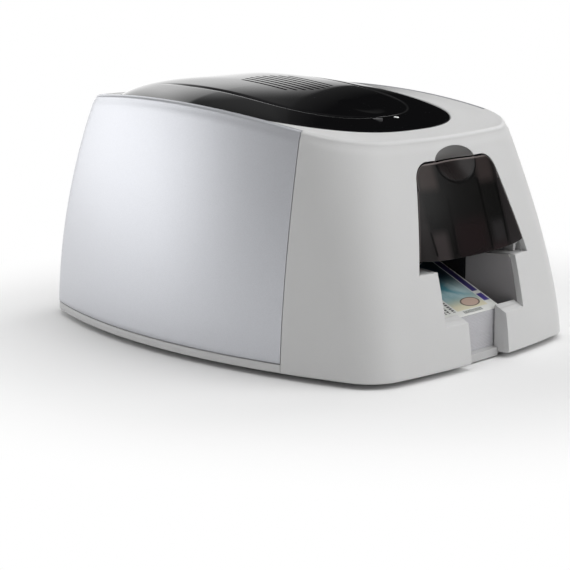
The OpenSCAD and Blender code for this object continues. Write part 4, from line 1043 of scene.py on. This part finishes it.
def moulded_grain(g, given):
    """Fine moulded grain: two sizes of noise give a height, a tone and a roughness that vary."""
    fine = g.noise(given["Vector"], given["Scale"], 3.0, Roughness=0.55)
    broad = g.noise(given["Vector"], 22.0, 2.0)
    tone = g.math("SUBTRACT", g.math("MULTIPLY_ADD", broad, 0.05, 0.975), 0.01)
    rough = g.math("MULTIPLY_ADD", g.math("SUBTRACT", broad, 0.5), given["Spread"], given["Roughness"])
    return {"Height": fine, "Tone": g.math("MULTIPLY_ADD", fine, 0.02, tone), "Roughness": rough}


def handling_marks(g, given):
    """Handling marks: thin stretched scratches and faint smears, as a roughness to add."""
    turned = g.add("Mapping", Vector=given["Vector"], Rotation=(0.2, 0.1, 0.7), Scale=(1.0, 14.0, 3.0))
    scratches = g.ramp(g.noise(turned.outputs[0], 120.0, 2.0), 0.66, 0.78)
    smears = g.ramp(g.noise(given["Vector"], 16.0, 4.0), 0.45, 0.8)
    marks = g.math("MULTIPLY_ADD", scratches, 0.5, smears)
    return {"Roughness": g.math("MULTIPLY", marks, given["Amount"])}


EFFECTS = {
    "Moulded grain": (moulded_grain, {"Scale": 2600.0, "Roughness": 0.5, "Spread": 0.06}),
    "Handling marks": (handling_marks, {"Amount": 0.1}),
}


def effect_group(name):
    """A shared effect as a shader node group with named sockets, built the first time it is used."""
    tree = bpy.data.node_groups.get(name)
    if tree:
        return tree
    tree = bpy.data.node_groups.new(name, "ShaderNodeTree")
    build, inputs = EFFECTS[name]
    tree.interface.new_socket("Vector", in_out="INPUT", socket_type="NodeSocketVector")
    for key, value in inputs.items():
        socket = tree.interface.new_socket(key, in_out="INPUT", socket_type="NodeSocketFloat")
        socket.default_value = value
    made = build(Graph(tree), tree.nodes.new("NodeGroupInput").outputs)
    for key in made:
        tree.interface.new_socket(key, in_out="OUTPUT", socket_type="NodeSocketFloat")
    end = tree.nodes.new("NodeGroupOutput")
    for key, value in made.items():
        tree.links.new(value, end.inputs[key])
    return tree


def plastic(
    name, colour, rough, scale, depth, spread=0.06, specular=0.5, coat=0, metal=0, soft=0, behind=None
):
    """A plain moulded finish: grain in colour, roughness and bump. Its cut edges catch the light as if
    rounded by soft. With behind, a depth and a colour, it turns to that colour behind the depth: painted
    shade for the dark inside of the printer."""
    g = Finish(name)
    grain = g.effect("Moulded grain", Scale=scale, Roughness=rough, Spread=spread)
    base = g.tinted(colour, grain["Tone"])
    # painted shade: behind the depth the colour stands for the dark inside of the printer
    if behind:
        y, second = behind
        base = g.over(base, second, g.ramp(g.split(g.where)[1], y * MM, (y + 0.4) * MM))
    bump = g.bump(grain["Height"], depth, 0.0002)
    if soft:
        g.put(bump.inputs["Normal"], g.add("Bevel", Radius=soft).outputs[0])
    if coat:
        g.settled(Coat_Weight=coat, Coat_Roughness=0.06)
    g.settled(Specular_IOR_Level=specular, Metallic=metal)
    return g.settled(Base_Color=base, Roughness=grain["Roughness"], Normal=bump.outputs[0])


PLASTICS = {
    # Casing grey darkened for the recess cheeks: painted shade inside the recess
    "recess_plastic_painted_shade": dict(colour=(0.26, 0.25, 0.255), rough=0.5, scale=1500, depth=0.3, specular=0.3),
    "scoop_plastic": dict(colour=(0.080, 0.077, 0.075), rough=0.33, scale=1500, depth=0.15),
    # Light grey in front, near black behind y = -124 mm: the black is painted shade for the printer's dark
    # inside
    "tray_plastic_painted_shade": dict(
        colour=(0.52, 0.52, 0.52), rough=0.5, scale=1500, depth=0.25, specular=0.4,
        behind=(-124, (0.012, 0.012, 0.013))
    ),
    # Casing grey lightened for the base strip: painted light bounced up from the floor
    "trim_plastic_painted_light": dict(colour=(0.86, 0.86, 0.86), rough=0.5, scale=1500, depth=0.3, specular=0.4),
    "black_plastic": dict(colour=(0.028, 0.028, 0.030), rough=0.45, scale=1500, depth=0.2),
    "natural_acetal": dict(colour=(0.72, 0.71, 0.66), rough=0.42, scale=1200, depth=0.08),
    "ground_steel": dict(colour=(0.56, 0.57, 0.58), rough=0.32, scale=900, depth=0.1, spread=0.1, metal=1),
    # Black paint, darkened further for painted shade; the frames take it to darken the printer's inside
    "black_paint_and_painted_shade": dict(
        colour=(0.004, 0.004, 0.0045), rough=0.6, scale=1500, depth=0.15, specular=0.2
    ),
    "key_rubber": dict(
        colour=(0.075, 0.075, 0.078), rough=0.6, scale=2200, depth=0.2, spread=0.05, specular=0.3
    ),
    "black_rubber": dict(
        colour=(0.022, 0.022, 0.024), rough=0.72, scale=2200, depth=0.3, spread=0.05, specular=0.3
    ),
    "ribbon_wine": dict(colour=(0.10, 0.015, 0.04), rough=0.28, scale=500, depth=0.05, spread=0.08),
    "ribbon_blue": dict(colour=(0.02, 0.05, 0.16), rough=0.28, scale=500, depth=0.05, spread=0.08),
    "circuit_board": dict(colour=(0.02, 0.11, 0.045), rough=0.4, scale=700, depth=0.15, spread=0.1, coat=0.2),
    "light_guide": dict(colour=(0.86, 0.88, 0.86), rough=0.18, scale=300, depth=0.02, spread=0.02, coat=0.4),
}


def casing_finish():
    """Moulded light grey with fine grain and softened edges."""
    return plastic("casing_plastic", colours().casing, 0.5, 1500, 0.35, specular=0.4, soft=0.0006)


def silver_finish():
    """Silver lacquer: a metallic base with very fine flakes that tilt the light, under a thin clear coat."""
    g = Finish("silver_lacquer")
    flake = g.add("TexVoronoi", Vector=g.where, Scale=4200.0).outputs["Color"]
    glint = g.math("SUBTRACT", g.ramp(flake, 0.15, 0.85, 0.95, 1.04), 0.015)
    broad = g.noise(g.where, 14.0, 2.0)
    return g.settled(
        Base_Color=g.tinted(colours().silver, g.math("MULTIPLY_ADD", broad, 0.03, glint)),
        Roughness=g.math("MULTIPLY_ADD", broad, 0.05, 0.38),
        Metallic=0.85,
        Normal=g.bump(flake, 0.05, 0.0001).outputs[0],
        Coat_Weight=0.1,
        Coat_Roughness=0.25,
    )


def cover_finish():
    """Smoked gloss: near black, mirror-like, with faint handling marks."""
    g = Finish("cover_gloss")
    marks = g.effect("Handling marks", Amount=0.02)
    grain = g.effect("Moulded grain", Scale=60.0, Roughness=0.035, Spread=0.02)
    return g.settled(
        Base_Color=g.tinted(colours().smoke, grain["Tone"]),
        Roughness=g.math("ADD", grain["Roughness"], marks["Roughness"]),
        IOR=1.5,
        Normal=g.bump(grain["Height"], 0.03, 0.0002).outputs[0],
    )


# Painted light and shade of the hopper's walls as seen through the door: left, right, bottom and top in
# millimetres, softness, colour
DOOR_PAINTED_HOPPER_LIGHT = (
    ((-60.0, -39.0, 60.0, 125.0), 3.0, (0.016, 0.014, 0.014)),
    ((-38.6, -22.5, 103.6, 125.0), 3.5, (0.036, 0.028, 0.026)),
    ((18.0, 34.0, 103.6, 125.0), 4.0, (0.033, 0.026, 0.025)),
    ((-37.0, -24.0, 40.0, 79.5), 3.5, (0.036, 0.030, 0.030)),
    ((-46.5, -38.6, 40.0, 86.0), 2.0, (0.020, 0.018, 0.018)),
    ((21.0, 33.4, 67.0, 80.0), 3.5, (0.020, 0.0185, 0.019)),
    ((-16.0, 15.0, 63.0, 84.0), 6.0, (0.012, 0.0075, 0.0080)),
    ((17.5, 34.5, 40.0, 68.0), 4.0, (0.018, 0.0120, 0.0125)),
    ((37.0, 60.0, 60.0, 112.0), 3.0, (0.019, 0.0165, 0.0168)),
)
# Dark ribs up the door: place, lean, bottom and top in millimetres
DOOR_LINES = (
    (-17.2, -0.08, 66.0, 98.0), (16.7, 0.01, 65.0, 106.0), (34.9, 0.0, 67.0, 101.0), (-37.9, 0.13, 67.0, 80.5)
)


def door_finish():
    """Brown-black smoked plastic: a glossy skin over a dark body, with a painted view of the hopper's walls
    behind it in their light and shade, narrow darker ribs running up it, a painted lighter dish in the scoop
    with a painted shade line round its rim, and a painted highlight along its edge."""
    g = Finish("door_smoked")
    x, _, z = g.split(g.where)
    broad = g.noise(g.where, 40.0, 3.0)
    out = g.tinted(colours().door, g.math("MULTIPLY_ADD", broad, 0.5, 0.75))
    # painted light and shade: the hopper's walls as they are lit behind the smoked door
    for box, soft, colour in DOOR_PAINTED_HOPPER_LIGHT:
        out = g.over(out, colour, g.inside(x, z, [v * MM for v in box], soft * MM))
    for place, lean, low, high in DOOR_LINES:
        across, above = g.math("SUBTRACT", x, place * MM), g.math("SUBTRACT", z, Door.middle * MM)
        mid = g.math("MULTIPLY_ADD", above, lean, across)
        line = g.inside(mid, z, [v * MM for v in (-0.8, 0.8, low, high)], 0.7 * MM)
        out = g.over(out, (0.0012, 0.0010, 0.0010), g.math("MULTIPLY", line, 0.95))
    r = []
    for value, size in ((x, Scoop.half), (g.math("SUBTRACT", z, Scoop.z * MM), Scoop.low)):
        r.append(g.math("POWER", g.math("ABSOLUTE", g.math("DIVIDE", value, size * MM)), 2.0))
    r = g.math("ADD", *r)
    # painted light: the dish inside the scoop is lighter
    out = g.over(out, (0.014, 0.011, 0.011), g.ramp(r, 0.72, 0.90, 1.0, 0.0))
    # painted shade: a dark line round the scoop's rim, where its steep wall turns from the light
    rim = g.math("ABSOLUTE", g.math("SUBTRACT", r, 0.98))
    out = g.over(out, (0.0010, 0.0008, 0.0008), g.ramp(rim, 0.05, 0.13, 1.0, 0.0))
    # painted highlight along the door's sides and head, where its rounded edge catches the light
    side = g.ramp(g.split(g.add("UVMap", uv_map="along").outputs[0])[0], 0.972, 0.990, 0.0, 0.30)
    head = (Door.top - Door.gap) * MM
    edge = g.math("MAXIMUM", side, g.ramp(z, head - 1.0 * MM, head - 0.5 * MM))
    return g.settled(
        Base_Color=g.over(out, (0.17, 0.145, 0.14), edge),
        Roughness=g.math("ADD", g.effect("Handling marks", Amount=0.05)["Roughness"], 0.2),
        Specular_IOR_Level=0.12,
        Normal=g.bump(broad, 0.05, 0.0003).outputs[0],
    )


def card_finish():
    """White gloss card; the top one carries a plain layout: picture field, band, blank oval, bars, with
    painted shade that darkens the field and the band towards the far end. The pile's edges and lower faces
    are a darker grey, painted shade between the cards. Places are shares of the card's width and length."""
    g = Finish("card_print_and_painted_shade")
    u, v, _ = g.split(g.add("UVMap", uv_map="along").outputs[0])
    tone = g.math("MULTIPLY_ADD", g.noise(g.where, 900.0, 2.0), 0.06, 0.95)
    whole, field, bar = (-0.01, 1.01, -0.01, 1.01), (0.29, 0.86, 0.06, 0.97), (0.36, 0.70, 0.022, 0.05)
    middle, halves = (0.65, 0.125), (0.165, 0.048)

    def striped(value, count, gap):
        """1 on each of a count of stripes, 0 in the gap before each."""
        return g.math("GREATER_THAN", g.math("FRACT", g.math("MULTIPLY", value, count)), gap)

    # painted shade: the pile's edges and lower faces are a darker grey than the top card's white face
    out = g.over(g.tinted((0.58, 0.575, 0.60), tone), (0.80, 0.81, 0.78), g.inside(u, v, whole, 0.002))
    art = g.over(g.tinted(colours().card_field, tone), (0.78, 0.74, 0.55), g.ramp(v, 0.10, 0.22, 1.0, 0.0))
    clouds = g.ramp(g.noise(g.where, 60.0, 5.0, Distortion=0.6), 0.42, 0.62)
    clouds = g.math("MULTIPLY", clouds, g.inside(u, v, (0.0, 1.0, 0.14, 0.42), 0.08))
    art = g.over(art, (0.45, 0.60, 0.62), clouds)
    # painted shade: the picture darkens towards the card's far end, which lies under the door
    far_painted_shade = g.math("MULTIPLY", g.ramp(v, 0.24, 0.44, smooth=True), 0.97)
    art = g.over(art, (0.004, 0.012, 0.022), far_painted_shade)
    out = g.over(out, art, g.inside(u, v, field, 0.006))
    bands = [g.inside(u, v, (0.875, 0.975, low, high), 0.003) for low, high in ((0.10, 0.182), (0.215, 0.96))]
    # painted shade: the band darkens from front to back as the picture does
    band = g.tinted(colours().card_band, g.ramp(v, 0.08, 0.40, 1.5, 0.35))
    out = g.over(out, band, g.math("ADD", *bands))
    r = []
    for value, centre, half in zip((u, v), middle, halves):
        off = g.math("DIVIDE", g.math("SUBTRACT", value, centre), half)
        r.append(g.math("MULTIPLY", off, off))
    r = g.math("ADD", *r)
    for limit, colour in ((1.0, (0.16, 0.12, 0.10)), (0.72, (0.62, 0.46, 0.38))):
        out = g.over(out, colour, g.ramp(r, limit - 0.05, limit + 0.05, 1.0, 0.0))
    stripes = g.math("MULTIPLY", g.inside(u, v, bar, 0.002), striped(u, 64.0, 0.4))
    out = g.over(out, (0.10, 0.12, 0.11), stripes)
    dashes = striped(v, 46.0, 0.35)
    for low, high in ((0.215, 0.262), (0.13, 0.165), (0.07, 0.105)):
        line = g.inside(u, v, (low, high, 0.06, 0.5), 0.003)
        out = g.over(out, (0.05, 0.05, 0.055), g.math("MULTIPLY", line, dashes))
    rough = g.math("ADD", g.effect("Handling marks", Amount=0.05)["Roughness"], 0.3)
    return g.settled(Base_Color=out, Roughness=rough)


FINISHES = {
    "casing_plastic": casing_finish,
    "silver_lacquer": silver_finish,
    "cover_gloss": cover_finish,
    "door_smoked": door_finish,
    "card_print_and_painted_shade": card_finish,
}


def finish(name):
    """The named finish, made the first time a piece asks for it."""
    made = bpy.data.materials.get(name)
    if made:
        return made
    return FINISHES[name]() if name in FINISHES else plastic(name, **PLASTICS[name])


SLOT_FINISHES = {
    "steel": "ground_steel",
    "painted_steel": "black_paint_and_painted_shade",
    "dark_grey": "tray_plastic_painted_shade",
    "rubber": "black_rubber",
    "white_plastic": "natural_acetal",
    "dark_plastic": "black_plastic",
    "ribbon_wine": "ribbon_wine",
    "ribbon_blue": "ribbon_blue",
    "board": "circuit_board",
    "lamp": "light_guide",
    "grey": "casing_plastic",
    "smoke": "black_plastic",
}
OWN_FINISHES = {
    # The frames take the black finish in place of their slot's: painted shade for the printer's dark inside
    "left_frame": "black_paint_and_painted_shade",
    "right_frame": "black_paint_and_painted_shade",
    "frame_bars": "black_paint_and_painted_shade",
    "output_tray": "tray_plastic_painted_shade",
    # the base strip takes the lightened grey: painted light from the floor
    "base_tray": "trim_plastic_painted_light",
    "push_button": "key_rubber",
}


class FinishSolids(bpy.types.Operator):
    """Gives each solid that shows as it is a finish for its material: steel, rubber, acetal and so on"""

    bl_idname = "printer.solid_finishes"
    bl_label = "Solid finishes"

    def execute(self, context):
        slots = {p["node"]: p["material_slot"] for p in frame["record"]["subparts"]}
        for name, solid in frame["nodes"].items():
            if not solid.hide_render:
                solid.data.materials.clear()
                solid.data.materials.append(finish(OWN_FINISHES.get(name, SLOT_FINISHES[slots[name]])))
        return {"FINISHED"}


# ---- Stage ---------------------------------------------------------------------------


def aim(thing, place, way):
    """Puts a camera or lamp at a place, looking along a direction."""
    thing.location = place
    thing.rotation_euler = way.to_track_quat("-Z", "Y").to_euler()
    bpy.context.scene.collection.objects.link(thing)


def view_camera():
    """The camera looks down by its pitch along its heading in plan."""
    data = bpy.data.cameras.new("view")
    data.lens, data.sensor_width, data.clip_start = 114.47, 36.0, 0.05
    camera, pitch = bpy.data.objects.new("view", data), np.radians(10.95)
    way = Vector((0.7562 * np.cos(pitch), 0.6544 * np.cos(pitch), -np.sin(pitch)))
    aim(camera, (-0.8564, -0.7379, 0.2461), way)
    bpy.context.scene.camera = camera


def area_light(name, place, target, size, power):
    """A soft box that looks from its place at a target."""
    data = bpy.data.lights.new(name, "AREA")
    data.shape, data.size, data.size_y, data.energy = "RECTANGLE", size[0], size[1], power
    aim(bpy.data.objects.new(name, data), place, Vector(target) - Vector(place))


def floor_finish():
    """Pale floor, which the camera, glass and gloss see as plain white away from the printer's shadow."""
    g = Finish("pale_floor")
    g.settled(Base_Color=(0.82, 0.82, 0.82, 1), Roughness=0.9, Specular_IOR_Level=0.1)
    glow = g.add("Emission", Color=(1, 1, 1, 1), Strength=1.0)
    x, y, _ = g.split(g.where)
    right, back = g.math("SUBTRACT", x, 0.045), g.math("ADD", y, 0.04)
    square = g.math("ADD", g.math("MULTIPLY", right, right), g.math("MULTIPLY", back, back))
    fade = g.ramp(g.math("SQRT", square), 0.165, 0.36, smooth=True)
    path = g.add("LightPath").outputs
    seen = g.math("ADD", path["Is Camera Ray"], path["Is Transmission Ray"], clamp=True)
    seen = g.math("ADD", seen, path["Is Glossy Ray"], clamp=True)
    mix = g.add("MixShader")
    for i, value in enumerate((g.math("MULTIPLY", seen, fade), g.shader.outputs[0], glow.outputs[0])):
        g.put(mix.inputs[i], value)
    g.put(g.tree.nodes["Material Output"].inputs["Surface"], mix.outputs[0])
    return g.material


def surroundings():
    """White for the camera. Other rays see a dim room with a bright band near the horizon at the rear left, a
    paler left side and a dark patch ahead, each a function of the direction's heading and height."""
    world = bpy.data.worlds.new("surroundings")
    world.use_nodes = True
    g, back = Graph(world.node_tree), world.node_tree.nodes["Background"]
    back.inputs[0].default_value = (1, 1, 1, 1)
    where = g.add("TexCoord").outputs["Generated"]
    height = g.split(where)[2]
    unit = g.vector_math("NORMALIZE", g.vector_math("MULTIPLY", where, (1, 1, 0)))
    rear_left, right, rear_right, left, ahead_way = (
        (-0.595, 0.804, 0), (0.985, -0.174, 0), (0.783, 0.622, 0), (-0.766, 0.643, 0), (0.93, -0.37, 0)
    )

    def facing(direction, low, high, a=0.0, b=1.0):
        """How far a horizontal direction faces another, as a value from a to b."""
        return g.ramp(g.vector_math("DOT_PRODUCT", unit, direction), low, high, a, b)

    def level(low, high, a, b, later=0.0):
        """A value from a to b as the direction rises between two heights, later towards the back."""
        turn = facing(rear_left, -1.0, 1.0, later, -later)
        return g.ramp(g.math("ADD", height, turn), low, high, a, b, smooth=True)

    edges = g.math("MULTIPLY", facing(rear_left, 0.0, 0.006), facing(right, 0.0, 0.10))
    glow = g.math("MULTIPLY", facing(rear_left, 0.0, 0.25, 0.9, 1.6), level(0.15, 0.36, 1.0, 0.03, later=0.9))
    dim = g.math("ADD", facing(rear_right, 0.80, 0.92, 0.27, 0.07), facing(left, 0.55, 1.0, 0.0, 0.20))
    room = g.math("ADD", g.math("MULTIPLY", edges, glow), dim)
    ahead = g.math("MULTIPLY", facing(ahead_way, 0.50, 0.56), level(0.08, 0.12, 0.0, 1.0))
    dark = g.math("MULTIPLY", ahead, level(0.5, 0.7, 1.0, 0.2))
    room = g.math("MULTIPLY", room, g.math("MULTIPLY_ADD", dark, -0.93, 1.0))
    light = g.add("Mix", data_type="FLOAT")
    for i, value in ((0, g.add("LightPath").outputs["Is Camera Ray"]), (2, room), (3, 1.0)):
        g.put(light.inputs[i], value)
    g.put(back.inputs[1], light.outputs[0])
    return world


class BuildStage(bpy.types.Operator):
    """Sets the camera, the pale floor, the soft lights and the white surroundings"""

    bl_idname = "printer.stage"
    bl_label = "Stage"

    def execute(self, context):
        scene = context.scene
        scene.view_settings.view_transform = "Standard"
        view_camera()
        mesh = bpy.data.meshes.new("floor")
        mesh.from_pydata([(-6, -6, 0), (6, -6, 0), (6, 6, 0), (-6, 6, 0)], [], [(0, 1, 2, 3)])
        mesh.materials.append(floor_finish())
        floor = bpy.data.objects.new("floor", mesh)
        scene.collection.objects.link(floor)
        area_light("front", (0.9, -2.0, 1.5), (0, 0, 0.08), (2.4, 1.8), 32)
        area_light("top", (0.1, -0.2, 2.4), (0, 0, 0.1), (1.5, 1.5), 26)
        area_light("rear_left", (-0.62, 1.50, 0.26), (-0.05, 0, 0.08), (1.5, 0.48), 4.7)
        area_light("right", (2.0, 0.1, 1.1), (0, 0, 0.08), (1.0, 1.0), 9)
        scene.world = surroundings()
        return {"FINISHED"}


# ---- Panel and start -----------------------------------------------------------------

STEPS = (
    BuildCasing, BuildSidePanels, BuildRear, BuildBase, BuildCover,
    BuildDoor, BuildCards, FinishSolids, BuildStage
)


class PrinterPanel(bpy.types.Panel):
    """Lists the printer's sizes, colours and building steps"""

    bl_idname = "VIEW3D_PT_card_printer"
    bl_label = "Card printer"
    bl_space_type = "VIEW_3D"
    bl_region_type = "UI"
    bl_category = "Card printer"

    def draw(self, context):
        for block in (context.scene.printer_sizes, context.scene.printer_colours):
            column = self.layout.column(align=True)
            for name in block.__annotations__:
                column.prop(block, name)
        for step in STEPS:
            self.layout.operator(step.bl_idname)


CLASSES = (PrinterSizes, PrinterColours, *STEPS, PrinterPanel)


def register():
    """Registers the classes and hangs the sizes and colours on the scene."""
    for c in CLASSES:
        bpy.utils.register_class(c)
    bpy.types.Scene.printer_sizes = bpy.props.PointerProperty(type=PrinterSizes)
    bpy.types.Scene.printer_colours = bpy.props.PointerProperty(type=PrinterColours)


def unregister():
    """Takes away what register put in place."""
    del bpy.types.Scene.printer_sizes
    del bpy.types.Scene.printer_colours
    for c in reversed(CLASSES):
        bpy.utils.unregister_class(c)


def main():
    """Registers the add-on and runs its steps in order."""
    register()
    for step in STEPS:
        area, name = step.bl_idname.split(".")
        getattr(getattr(bpy.ops, area), name)()


if __name__ == "__main__":
    main()
